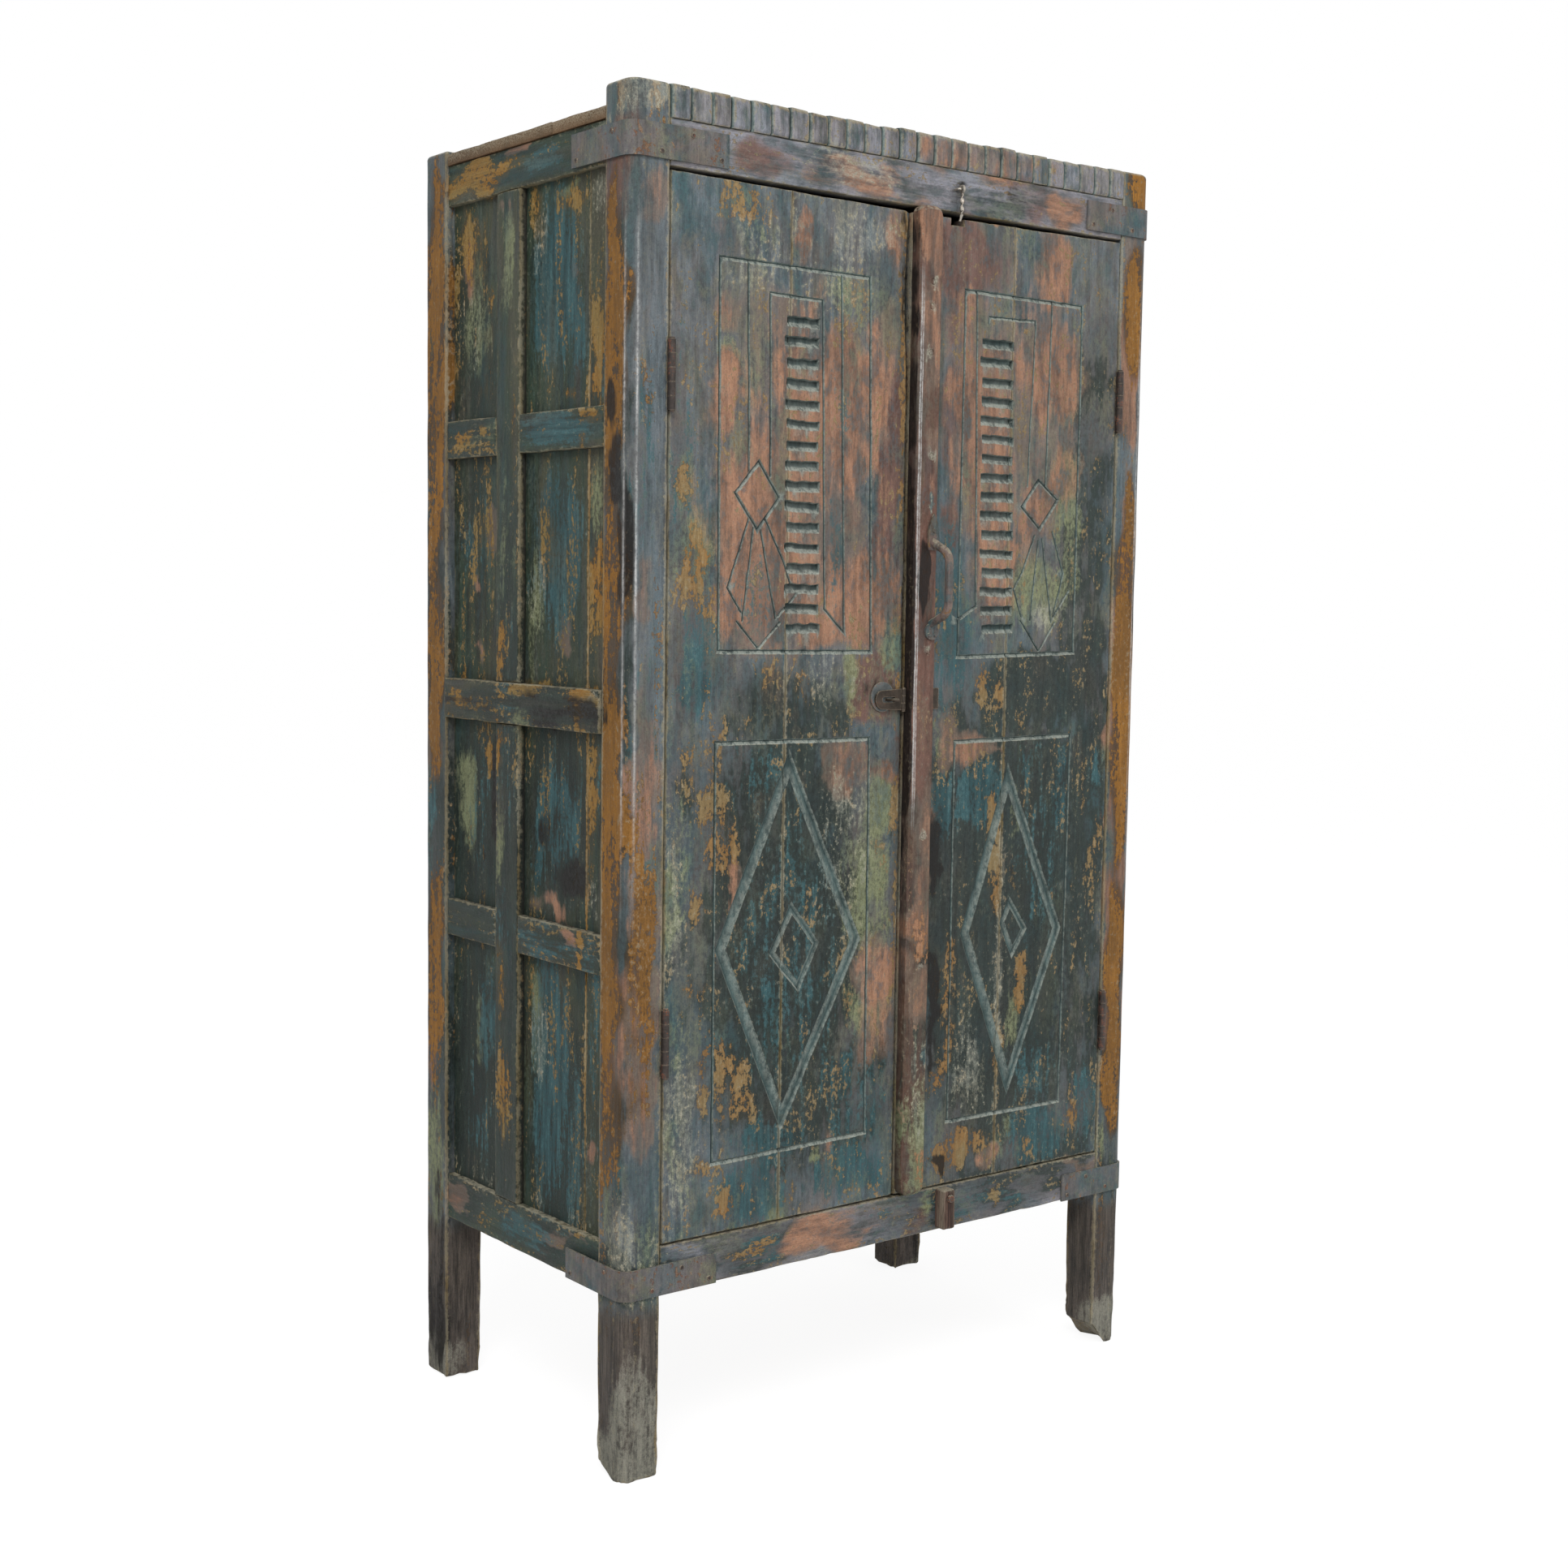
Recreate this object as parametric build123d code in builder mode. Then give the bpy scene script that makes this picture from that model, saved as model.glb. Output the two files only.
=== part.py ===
"""A tall painted plank cupboard with two carved doors, iron corner straps and a bow handle.

The frame is millimetres, +X to the right as one faces the doors, +Y into the cupboard, +Z up.
The origin is on the floor, in the middle of the whole object's width and depth.
"""
from build123d import *
import os

# ---- driving dimensions ------------------------------------------------------------------
WIDTH = 948.0  # over the corner posts
DEPTH = 532.0  # over the corner posts
HEIGHT = 1820.0  # to the top of the front post heads
BACK_HEAD = 1799.0  # top of the back posts
HANDLE_REACH = 62.0  # how far the bow handle stands out from the door faces

POST = 60.0
POST_ROUND = 17.0  # round of the outer front corners
BACK_ROUND = 6.0
HEAD_ROUND = 6.0

TENON_LENGTH = 35.0
TENON_THICK = 10.0
SHOULDER = 6.0

RAIL_THICK = 28.0
BOTTOM_RAIL = (249.0, 314.0)
TOP_RAIL = (1717.0, 1777.0)
FRIEZE_TOP = 1819.0
FRIEZE_PROUD = 4.0
FLUTES = 26
FLUTE_CUT = 9.0  # width of the cut between two flutes
FLUTE_DEPTH = 6.0

# The sides: distances in from the outer face of the posts, and heights.
SIDE_RAIL_IN = (3.0, 31.0)
SIDE_BOTTOM_RAIL = (249.0, 316.0)
SIDE_TOP_RAIL = (1720.0, 1777.0)
SIDE_SLAT_IN = (1.0, 13.0)
SIDE_BOARD_IN = (13.0, 25.0)
SIDE_BOARD_Z = (304.0, 1728.0)
MIDDLE_RAIL_IN = (-4.0, 13.0)
MIDDLE_RAIL = (993.0, 1051.0)
SHORT_RAILS = ((674.0, 728.0), (1364.0, 1418.0))
STILE = (272.0, 333.0)  # distances back from the door faces
SIDE_SEAMS = (113.0, 303.0)
SEAM = 1.0  # open joint between two neighbouring boards

BACK_RAIL_FROM = 486.0
BACK_BOARD = (514.0, 526.0)
BACK_BOARD_Z = (252.0, 1774.0)
TOP_BOARD = (1777.0, 1794.0)
TOP_SEAMS = (190.0, 350.0)
FLOOR_BOARD = (296.0, 314.0)
FLOOR_SEAMS = (180.0, 330.0)
SHELF_THICK = 18.0
SHELF_BACK = 512.0
SHELF_TOPS = {"lower": 705.0, "middle": 1030.0, "upper": 1395.0}
CLEAT = 25.0

# Doors
DOOR_THICK = 24.0
DOOR_BOTTOM = 316.5
DOOR_TOP_HINGE = 1713.0
DOOR_TOP_MEETING = 1705.0
HINGE_EDGE = 412.0  # distance of both doors' hinge edges from the middle
LEFT_MEETING = -8.0
RIGHT_MEETING = -4.0
LEFT_SEAM = -217.0
RIGHT_SEAM = 193.0
BOARD_GAP = 0.5
BATTEN_THICK = 20.0
BATTEN_TALL = 60.0
BATTEN_HEIGHTS = (430.0, 1010.0, 1590.0)
BATTEN_FROM_HINGE = 35.0
BATTEN_FROM_MEETING = 30.0

# Gouged line carving. Each door has the same drawing, mirrored, on its own widths.
GROOVE = 5.0
GROOVE_DEPTH = 2.5
PANEL_FROM_HINGE = 79.0
UPPER_PANEL = (1101.0, 1612.0)
LOWER_PANEL = (414.0, 978.0)
GOUGES = 16
GOUGE_TALL = 10.0
GOUGE_HEIGHTS = (1132.0, 1541.0)
KITE_WIDE = 73.0
KITE_TALL = 88.0
STRING_OFF = 21.0  # the two lines that the kite hangs on, either side of its centre
FRAME_MARGIN = 10.0
FRAME_DROP = 38.0
FRAME_FOOT = 28.0
MITRE = 34.0
TASSEL = (((-15, 26), (-48, 86)), ((-7, 34), (-24, 130)), ((5, 40), (34, 130)), ((13, 30), (58, 89)))
TASSEL_FOOT = ((-34, 39), (4, 5), (66, 83))  # across from the kite's centre, up from the panel's foot
DIAMOND_CLEAR = 12.0
DIAMOND_BAND = 17.0
SMALL_DIAMOND = (76.0, 124.0)
LEFT_CARVING = {"panel": 345.0, "ladder": (192.0, 247.0), "kite": (144.0, 1310.0), "diamond": 209.0}
RIGHT_CARVING = {"panel": 315.0, "ladder": (209.0, 271.0), "kite": (157.0, 1318.0), "diamond": 195.0}

# Strip that covers the gap between the doors
STRIP = (-5.0, 38.5)
STRIP_Z = (316.0, 1718.0)
STRIP_PROUD = 20.0
STRIP_CHAMFER = 5.0
STRIP_ROUND = 14.0

# Butt hinges
HINGE_TALL = 90.0
HINGE_LEAF = 2.0
HINGE_LEAF_DEEP = 22.0
BARREL_R = 5.0
BARREL_OUT = 5.5  # pin axis in front of the door faces
PIN_AXIS = 413.0
PIN_R = 2.5
PIN_CLEARANCE = 0.05
PIN_HEAD_R = 3.6
SEGMENTS = 5
SEGMENT_GAP = 0.4
LEFT_HINGES = (588.0, 1455.6)
RIGHT_HINGES = (526.0, 1476.0)

# Bow handle on the strip
HANDLE_X = 26.0
HANDLE_R = 6.0
HANDLE_FEET = (1139.0, 1255.0)
HANDLE_ENDS = (1116.0, 1294.0)
HANDLE_PLATE = 3.0
HANDLE_PLATE_WIDE = 20.0
HANDLE_BEND = 22.0
HANDLE_SPLAY = 17.0  # how far each arm leans in from its foot to the grip
RIVET_R = 3.2
RIVET_PROUD = 1.6

# Hasp and staple
HASP_Z = 1033.0
HASP_WIDE = 30.0
HASP_AXIS = -10.0
HASP_AXIS_OUT = 5.0
HASP_BARREL_R = 4.0
HASP_PIN_R = 2.0
HASP_TIP = -61.0
HASP_LEAF = (2.5, 5.5)  # distances out from the door faces
HASP_SLOT = (-49.0, -24.0)
HASP_SLOT_TALL = 8.0
FIXED_LEAF_END = 59.0
FIXED_LEAF_THICK = 2.5
STAPLE_X = -33.0
STAPLE_HALF = 5.5
STAPLE_R = 2.0
STAPLE_OUT = 20.0
STAPLE_IN = 12.0
ROSETTE = (-45.5, 1037.0)
ROSETTE_R = 21.0
ROSETTE_THICK = 2.0

# Hook on the top rail
HOOK_X = 80.0
HOOK_Z = 1749.0
HOOK_OUT = 7.0
HOOK_R = 2.0
HOOK_EYE_R = 4.1
HOOK_TIP = 1704.0
HOOK_NOTCH = (68.0, 92.0)
HOOK_NOTCH_Z = 1700.0
RAIL_STAPLE_R = 1.8
RAIL_STAPLE_HALF = 5.5

# Turn button on the bottom rail
BUTTON = (76.0, 99.0)
BUTTON_Z = (253.0, 313.0)
BUTTON_PIVOT = 300.0
BUTTON_THICK = 20.0
BUTTON_GAP = 0.3
SCREW_R = 3.0
SCREW_HEAD_R = 6.0
SCREW_IN = 20.0

# Corner straps
STRAP = 3.0
STRAP_SIDE_LEG = 135.0
STRAP_FRONT_LEG = {"left": 150.0, "right": 137.0}
STRAP_Z = {"top": (1724.0, 1767.0), "bottom": (249.0, 290.0)}
NAIL_HEAD_R = 3.5
NAIL_R = 1.2
NAIL_LENGTH = 18.0
NAIL_PROUD = 1.2

# ---- worked out from the above -----------------------------------------------------------
HALF = WIDTH / 2
OPENING = HALF - POST
FRONT = (HANDLE_REACH - DEPTH) / 2
FACE = Plane.XZ.offset(-FRONT)  # drawn on in X and Z, normal towards the viewer
SIDES = {"left": -1, "right": 1}
SIDE_RUN = (POST, DEPTH - POST)  # between the posts, back from the door faces


def finish(piece, name):
    """Label a finished piece and write it out under its own name."""
    piece.part.label = name
    export_step(piece.part, f"parts/{name}.step")


def block(x, y, z, mode=Mode.ADD):
    """Straight-sided stock between (low, high) pairs; y is counted back from the door faces."""
    with Locations((sum(x) / 2, FRONT + sum(y) / 2, sum(z) / 2)):
        Box(abs(x[1] - x[0]), abs(y[1] - y[0]), abs(z[1] - z[0]), mode=mode)


def inset(side, span):
    """X values on one side of the cupboard, from distances in from the outer face."""
    return (side * (HALF - span[0]), side * (HALF - span[1]))


def middle(span, width):
    """A stretch of the given width in the middle of a span."""
    centre = sum(span) / 2
    return (centre - width / 2, centre + width / 2)


def tenon_heights(rail):
    """Heights of the tenon on a rail that spans these heights."""
    return (rail[0] + SHOULDER, rail[1] - SHOULDER)


def side_tenons(side):
    """The three tenon sections of one side: X span and heights."""
    rail_x = middle(inset(side, SIDE_RAIL_IN), TENON_THICK)
    slat_x = middle(inset(side, (SIDE_SLAT_IN[0] + 2, SIDE_SLAT_IN[1])), TENON_THICK - 2)
    return {
        "bottom": (rail_x, (SIDE_BOTTOM_RAIL[0] + SHOULDER, SIDE_BOARD_Z[0] - SHOULDER)),
        "middle": (slat_x, tenon_heights(MIDDLE_RAIL)),
        "top": (rail_x, (SIDE_BOARD_Z[1] + SHOULDER, SIDE_TOP_RAIL[1] - SHOULDER)),
    }


def cross_tenon(y):
    """Y span of the tenon on a rail that runs across the cupboard."""
    return middle(y, TENON_THICK)


def hinge_heights(side):
    """Centre heights of the two hinges of one door."""
    return LEFT_HINGES if side < 0 else RIGHT_HINGES


# ---- carcass -----------------------------------------------------------------------------
def post(name, side, front):
    """A corner post that runs down to the floor as a leg, with mortises and hinge pockets."""
    y = (0.0, POST) if front else (DEPTH - POST, DEPTH)
    height = HEIGHT if front else BACK_HEAD
    outer = (side * HALF, FRONT + (0.0 if front else DEPTH), height / 2)
    inner_x = (side * OPENING, side * (OPENING + TENON_LENGTH))
    rail_y = (0.0, RAIL_THICK) if front else (BACK_RAIL_FROM, BACK_RAIL_FROM + RAIL_THICK)
    tenon_y = (POST - TENON_LENGTH, POST) if front else (DEPTH - POST, DEPTH - POST + TENON_LENGTH)
    with BuildPart() as piece:
        block((side * OPENING, side * HALF), y, (0.0, height))
        corner = piece.edges().filter_by(Axis.Z).sort_by_distance(outer)[0]
        fillet(corner, radius=POST_ROUND if front else BACK_ROUND)
        fillet(piece.faces().sort_by(Axis.Z)[-1].edges(), radius=HEAD_ROUND)
        for rail in (BOTTOM_RAIL, TOP_RAIL):
            block(inner_x, cross_tenon(rail_y), tenon_heights(rail), mode=Mode.SUBTRACT)
        for tenon_x, heights in side_tenons(side).values():
            block(tenon_x, tenon_y, heights, mode=Mode.SUBTRACT)
        if front:
            for z in hinge_heights(side):
                pocket_x = (side * OPENING, side * (OPENING + HINGE_LEAF))
                pocket_z = (z - HINGE_TALL / 2, z + HINGE_TALL / 2)
                block(pocket_x, (0.0, HINGE_LEAF_DEEP), pocket_z, mode=Mode.SUBTRACT)
    finish(piece, name)


def cross_rail(name, y, z):
    """A rail between the left and right posts, tenoned into both."""
    reach = OPENING + TENON_LENGTH
    with BuildPart() as piece:
        block((-OPENING, OPENING), y, z)
        block((-reach, reach), cross_tenon(y), tenon_heights(z))
    finish(piece, name)


def frieze():
    """The reeded bar on the top rail: flat flutes parted by V cuts."""
    pitch = 2 * OPENING / FLUTES
    with BuildPart() as piece:
        block((-OPENING, OPENING), (-FRIEZE_PROUD, RAIL_THICK), (TOP_RAIL[1], FRIEZE_TOP))
        with BuildSketch(Plane.XY.offset(TOP_RAIL[1])):
            for cut in range(FLUTES + 1):
                x = -OPENING + cut * pitch
                with BuildLine(Plane((x, FRONT - FRIEZE_PROUD, 0))):
                    Polyline((-FLUTE_CUT / 2, 0), (0, FLUTE_DEPTH), (FLUTE_CUT / 2, 0), close=True)
                make_face()
        extrude(amount=FRIEZE_TOP - TOP_RAIL[1], mode=Mode.SUBTRACT)
    finish(piece, "frieze")


def side_edge_rail(name, side, heights, tenon, rebate):
    """A top or bottom rail of one side, rebated inside for the upright boards."""
    run = (SIDE_RUN[0] - TENON_LENGTH, SIDE_RUN[1] + TENON_LENGTH)
    with BuildPart() as piece:
        block(inset(side, SIDE_RAIL_IN), SIDE_RUN, heights)
        block(tenon[0], run, tenon[1])
        block(inset(side, (SIDE_BOARD_IN[0], SIDE_RAIL_IN[1])), SIDE_RUN, rebate, mode=Mode.SUBTRACT)
    finish(piece, name)


def plank(name, x, y, z):
    """One plain piece."""
    with BuildPart() as piece:
        block(x, y, z)
    finish(piece, name)


def side_panel(word, side):
    """The rails, stile and boards of one side of the cupboard."""
    tenons = side_tenons(side)
    bottom_rebate = (SIDE_BOARD_Z[0], SIDE_BOTTOM_RAIL[1])
    top_rebate = (SIDE_TOP_RAIL[0], SIDE_BOARD_Z[1])
    side_edge_rail(f"{word}_side_bottom_rail", side, SIDE_BOTTOM_RAIL, tenons["bottom"], bottom_rebate)
    side_edge_rail(f"{word}_side_top_rail", side, SIDE_TOP_RAIL, tenons["top"], top_rebate)

    with BuildPart() as middle_rail:
        block(inset(side, MIDDLE_RAIL_IN), SIDE_RUN, MIDDLE_RAIL)
        run = (SIDE_RUN[0] - TENON_LENGTH, SIDE_RUN[1] + TENON_LENGTH)
        block(tenons["middle"][0], run, tenons["middle"][1])
    finish(middle_rail, f"{word}_side_middle_rail")

    slat_x = inset(side, SIDE_SLAT_IN)
    for place, run in (("front", (SIDE_RUN[0], STILE[0])), ("back", (STILE[1], SIDE_RUN[1]))):
        with BuildPart() as short_rails:
            for heights in SHORT_RAILS:
                block(slat_x, run, heights)
        finish(short_rails, f"{word}_side_short_rails_{place}")

    with BuildPart() as stiles:
        block(slat_x, STILE, (SIDE_BOTTOM_RAIL[1], MIDDLE_RAIL[0]))
        block(slat_x, STILE, (MIDDLE_RAIL[1], SIDE_TOP_RAIL[0]))
    finish(stiles, f"{word}_side_stiles")

    edges = (SIDE_RUN[0], *SIDE_SEAMS, SIDE_RUN[1])
    for place, low, high in zip(("front", "middle", "back"), edges, edges[1:]):
        near = low if place == "front" else low + SEAM / 2
        far = high if place == "back" else high - SEAM / 2
        plank(f"{word}_side_board_{place}", inset(side, SIDE_BOARD_IN), (near, far), SIDE_BOARD_Z)


def cross_boards(name, seams, run, half, z):
    """Boards laid across the cupboard and notched round the four posts."""
    edges = (run[0], *seams, run[1])
    with BuildPart() as boards:
        for low, high in zip(edges, edges[1:]):
            near = low + (0.0 if low == run[0] else SEAM / 2)
            far = high - (0.0 if high == run[1] else SEAM / 2)
            block((-half, half), (near, far), z)
        for side in SIDES.values():
            for y in ((0.0, POST), (DEPTH - POST, DEPTH)):
                block((side * OPENING, side * HALF), y, z, mode=Mode.SUBTRACT)
    finish(boards, name)


def back_boards():
    """Four upright boards nailed over the back rails."""
    pitch = 2 * OPENING / 4
    with BuildPart() as boards:
        for number in range(4):
            low = -OPENING + number * pitch + (SEAM / 2 if number else 0.0)
            high = -OPENING + (number + 1) * pitch - (SEAM / 2 if number < 3 else 0.0)
            block((low, high), BACK_BOARD, BACK_BOARD_Z)
    finish(boards, "back_boards")


def shelf(name, top):
    """A shelf between the side boards that reaches back between the posts."""
    z = (top - SHELF_THICK, top)
    half = HALF - SIDE_BOARD_IN[1]
    with BuildPart() as piece:
        block((-half, half), SIDE_RUN, z)
        block((-OPENING, OPENING), (SIDE_RUN[1], SHELF_BACK), z)
    finish(piece, name)


def shelf_cleats():
    """Square battens along both sides, under the floor boards and each shelf."""
    wall = HALF - SIDE_BOARD_IN[1]
    rail = HALF - SIDE_RAIL_IN[1]
    run = (SIDE_RUN[0] + 2, SIDE_RUN[1] - 2)
    with BuildPart() as cleats:
        for side in SIDES.values():
            block((side * (rail - CLEAT), side * rail), run, (FLOOR_BOARD[0] - CLEAT, FLOOR_BOARD[0]))
            for top in SHELF_TOPS.values():
                under = top - SHELF_THICK
                block((side * (wall - CLEAT), side * wall), run, (under - CLEAT, under))
    finish(cleats, "shelf_cleats")


# ---- straps ------------------------------------------------------------------------------
def strap(word, place):
    """Flat iron bent round the outer front corner of a post."""
    side = SIDES[word]
    low, high = STRAP_Z[place]
    with BuildPart() as piece:
        with BuildSketch(Plane.XY.offset(low)):
            with BuildLine(Plane((side * HALF, FRONT, 0))):
                front_end = (-side * STRAP_FRONT_LEG[word], 0)
                FilletPolyline(front_end, (0, 0), (0, STRAP_SIDE_LEG), radius=POST_ROUND)
                inner = edges()
                offset(inner, amount=STRAP, side=Side.LEFT if side < 0 else Side.RIGHT)
            make_face()
        extrude(amount=high - low)
    finish(piece, f"strap_{place}_{word}")


def nail_places():
    """X of the nails in the front legs and Y of those in the side legs, for each strap."""
    for word, side in SIDES.items():
        leg = STRAP_FRONT_LEG[word]
        for low, high in STRAP_Z.values():
            heights = (low + 9.0, high - 9.0)
            for number, reach in enumerate((leg - 12.0, leg * 0.62, leg * 0.3)):
                yield "front", side * (HALF - reach), heights[number % 2]
            for number, reach in enumerate((STRAP_SIDE_LEG - 12.0, STRAP_SIDE_LEG * 0.3)):
                yield word, reach, heights[number % 2]


def strap_nails():
    """Round-headed nails that hold the straps, driven into the wood behind."""
    with BuildPart() as nails:
        for face, along, z in nail_places():
            if face == "front":
                plane = Plane((along, FRONT - STRAP, z), x_dir=(1, 0, 0), z_dir=(0, -1, 0))
            else:
                side = SIDES[face]
                origin = (side * (HALF + STRAP), FRONT + along, z)
                plane = Plane(origin, x_dir=(0, 1, 0), z_dir=(side, 0, 0))
            with BuildSketch(plane):
                Circle(NAIL_HEAD_R)
            extrude(amount=NAIL_PROUD, taper=30)
            with BuildSketch(plane):
                Circle(NAIL_R)
            extrude(amount=-NAIL_LENGTH)
    finish(nails, "strap_nails")


# ---- doors -------------------------------------------------------------------------------
def door_top(x):
    """Height of the sloping top edge of either door at x."""
    return DOOR_TOP_MEETING + abs(x) / HINGE_EDGE * (DOOR_TOP_HINGE - DOOR_TOP_MEETING)


def groove_lines(*lines):
    """Cut grooves of even width along open or closed chains of points on the door faces."""
    for points in lines:
        with BuildSketch(FACE) as groove:
            with BuildLine():
                Polyline(*points)
            trace(line_width=GROOVE)
        extrude(groove.sketch, amount=-GROOVE_DEPTH, mode=Mode.SUBTRACT)


def loop(points):
    """The same points, closed by a return to the first one."""
    return [*points, points[0]]


def rhombus(centre, wide, up, down):
    """Four corners of a diamond about a centre."""
    x, z = centre
    return loop([(x, z + up), (x + wide / 2, z), (x, z - down), (x - wide / 2, z)])


def carve(side):
    """The carving of one door, cut into whichever of its boards is being made."""
    sizes = LEFT_CARVING if side < 0 else RIGHT_CARVING

    def at(u, z):
        return (side * (HINGE_EDGE - u), z)

    near, far = PANEL_FROM_HINGE, sizes["panel"]
    for low, high in (UPPER_PANEL, LOWER_PANEL):
        groove_lines(loop([at(near, low), at(near, high), at(far, high), at(far, low)]))

    # Upper panel: a ladder of short gouges in a frame, and a kite with a tassel beside it.
    low, high = UPPER_PANEL
    ladder_near, ladder_far = sizes["ladder"]
    kite_u, kite_z = sizes["kite"]
    string_z = kite_z + KITE_TALL / 4
    frame_near = kite_u + STRING_OFF
    frame_far = ladder_far + FRAME_MARGIN
    frame_top = high - FRAME_DROP
    mitre = (at(frame_far, low + FRAME_FOOT + MITRE), at(frame_far + MITRE, low + FRAME_FOOT))
    left_and_top = (at(frame_near, string_z), at(frame_near, frame_top), at(frame_far, frame_top))
    groove_lines([*left_and_top, *mitre, at(frame_far + MITRE, high)])
    groove_lines([at(kite_u - STRING_OFF, high), at(kite_u - STRING_OFF, string_z)])
    groove_lines(rhombus(at(kite_u, kite_z), KITE_WIDE, KITE_TALL / 2, KITE_TALL / 2))
    for top, bottom in TASSEL:
        groove_lines([at(kite_u + top[0], kite_z - top[1]), at(kite_u + bottom[0], kite_z - bottom[1])])
    groove_lines([at(kite_u + across, low + up) for across, up in TASSEL_FOOT])

    step = (GOUGE_HEIGHTS[1] - GOUGE_HEIGHTS[0]) / (GOUGES - 1)
    centre_x = at((ladder_near + ladder_far) / 2, 0)[0]
    with BuildSketch(FACE) as ladder:
        for number in range(GOUGES):
            with Locations((centre_x, GOUGE_HEIGHTS[0] + number * step)):
                Rectangle(ladder_far - ladder_near, GOUGE_TALL)
    extrude(ladder.sketch, amount=-GROOVE_DEPTH, mode=Mode.SUBTRACT)

    # Lower panel: a long diamond with a double outline and a small diamond inside it.
    wide = far - near - DIAMOND_CLEAR
    centre = at(sizes["diamond"], sum(LOWER_PANEL) / 2)
    up = (LOWER_PANEL[1] - LOWER_PANEL[0]) / 2 - DIAMOND_CLEAR
    inner_wide = wide - 2 * DIAMOND_BAND
    inner_up = up * inner_wide / wide
    groove_lines(rhombus(centre, wide, up, up), rhombus(centre, inner_wide, inner_up, inner_up))
    groove_lines(rhombus(centre, SMALL_DIAMOND[0], SMALL_DIAMOND[1] / 2, SMALL_DIAMOND[1] / 2))


def door_board(name, side, x, notched=False):
    """One upright board of a door, carved, with hinge pockets where it meets the post."""
    low, high = sorted(x)
    on_hinge_edge = HINGE_EDGE in (abs(low), abs(high))
    with BuildPart() as board:
        with BuildSketch(FACE):
            with BuildLine():
                foot = ((low, DOOR_BOTTOM), (high, DOOR_BOTTOM))
                Polyline(*foot, (high, door_top(high)), (low, door_top(low)), close=True)
            make_face()
        extrude(amount=-DOOR_THICK)
        carve(side)
        for z in hinge_heights(side) if on_hinge_edge else ():
            pocket_x = (side * HINGE_EDGE, side * (HINGE_EDGE - HINGE_LEAF))
            pocket_z = (z - HINGE_TALL / 2, z + HINGE_TALL / 2)
            block(pocket_x, (0.0, HINGE_LEAF_DEEP), pocket_z, mode=Mode.SUBTRACT)
        if notched:
            block(HOOK_NOTCH, (0.0, DOOR_THICK), (HOOK_NOTCH_Z, DOOR_TOP_HINGE), mode=Mode.SUBTRACT)
    finish(board, name)


def door_battens(name, x):
    """Three battens across the back of a door."""
    with BuildPart() as battens:
        for z in BATTEN_HEIGHTS:
            block(x, (DOOR_THICK, DOOR_THICK + BATTEN_THICK), (z - BATTEN_TALL / 2, z + BATTEN_TALL / 2))
    finish(battens, name)


def cover_strip():
    """The chamfered strip on the right door, cut away behind for the hasp's fixed leaf."""
    leaf_z = (HASP_Z - HASP_WIDE / 2 - 0.5, HASP_Z + HASP_WIDE / 2 + 0.5)
    knuckle_z = (leaf_z[0] - 2.5, leaf_z[1] + 2.5)
    with BuildPart() as strip:
        with BuildSketch(FACE):
            with Locations((sum(STRIP) / 2, sum(STRIP_Z) / 2)):
                RectangleRounded(STRIP[1] - STRIP[0], STRIP_Z[1] - STRIP_Z[0], STRIP_ROUND)
        extrude(amount=STRIP_PROUD)
        chamfer(strip.faces().sort_by(Axis.Y)[0].edges(), length=STRIP_CHAMFER)
        block((STRIP[0], STRIP[1]), (-FIXED_LEAF_THICK, 0.0), leaf_z, mode=Mode.SUBTRACT)
        block((STRIP[0], STRIP[0] + 3), (-STRIP_PROUD, 0.0), knuckle_z, mode=Mode.SUBTRACT)
    finish(strip, "right_door_cover_strip")


def handle():
    """A bow handle with a leaf-shaped end plate above and a round one below."""
    foot_low, foot_high = HANDLE_FEET
    bow_out = HANDLE_REACH - HANDLE_R
    face_out = STRIP_PROUD - 1.0
    with BuildPart() as bow:
        with BuildLine(Plane((HANDLE_X, FRONT, 0), x_dir=(0, -1, 0), z_dir=(-1, 0, 0))) as path:
            grip = ((bow_out, foot_high - HANDLE_SPLAY), (bow_out, foot_low + HANDLE_SPLAY))
            FilletPolyline((face_out, foot_high), *grip, (face_out, foot_low), radius=HANDLE_BEND)
        with BuildSketch(Plane(path.line @ 0, z_dir=path.line % 0)):
            Circle(HANDLE_R)
        sweep(path=path.line)
        with BuildSketch(FACE.offset(STRIP_PROUD)):
            low_centre = HANDLE_ENDS[0] + HANDLE_PLATE_WIDE / 2 + 3
            with Locations((HANDLE_X, low_centre)):
                Circle(HANDLE_PLATE_WIDE / 2 + 2)
            with BuildLine():
                half = HANDLE_PLATE_WIDE / 2
                neck = foot_high - 12
                Line((HANDLE_X - half + 3, neck), (HANDLE_X + half - 3, neck))
                right_side = (HANDLE_X + half, neck + 18)
                left_side = (HANDLE_X - half, neck + 18)
                tip = (HANDLE_X, HANDLE_ENDS[1])
                Spline((HANDLE_X + half - 3, neck), right_side, tip)
                Spline(tip, left_side, (HANDLE_X - half + 3, neck))
            make_face()
        extrude(amount=HANDLE_PLATE)
        top_rivet = (HANDLE_X, foot_high + 15)
        foot_rivets = ((HANDLE_X - 6, low_centre - 5), (HANDLE_X + 6, low_centre - 5))
        with BuildSketch(FACE.offset(STRIP_PROUD + HANDLE_PLATE)):
            with Locations(top_rivet, *foot_rivets):
                Circle(RIVET_R)
        extrude(amount=RIVET_PROUD, taper=25)
        behind = (HANDLE_X - HANDLE_PLATE_WIDE, HANDLE_X + HANDLE_PLATE_WIDE)
        block(behind, (-STRIP_PROUD, 0.0), HANDLE_ENDS, mode=Mode.SUBTRACT)
    finish(bow, "right_door_handle")


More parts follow.
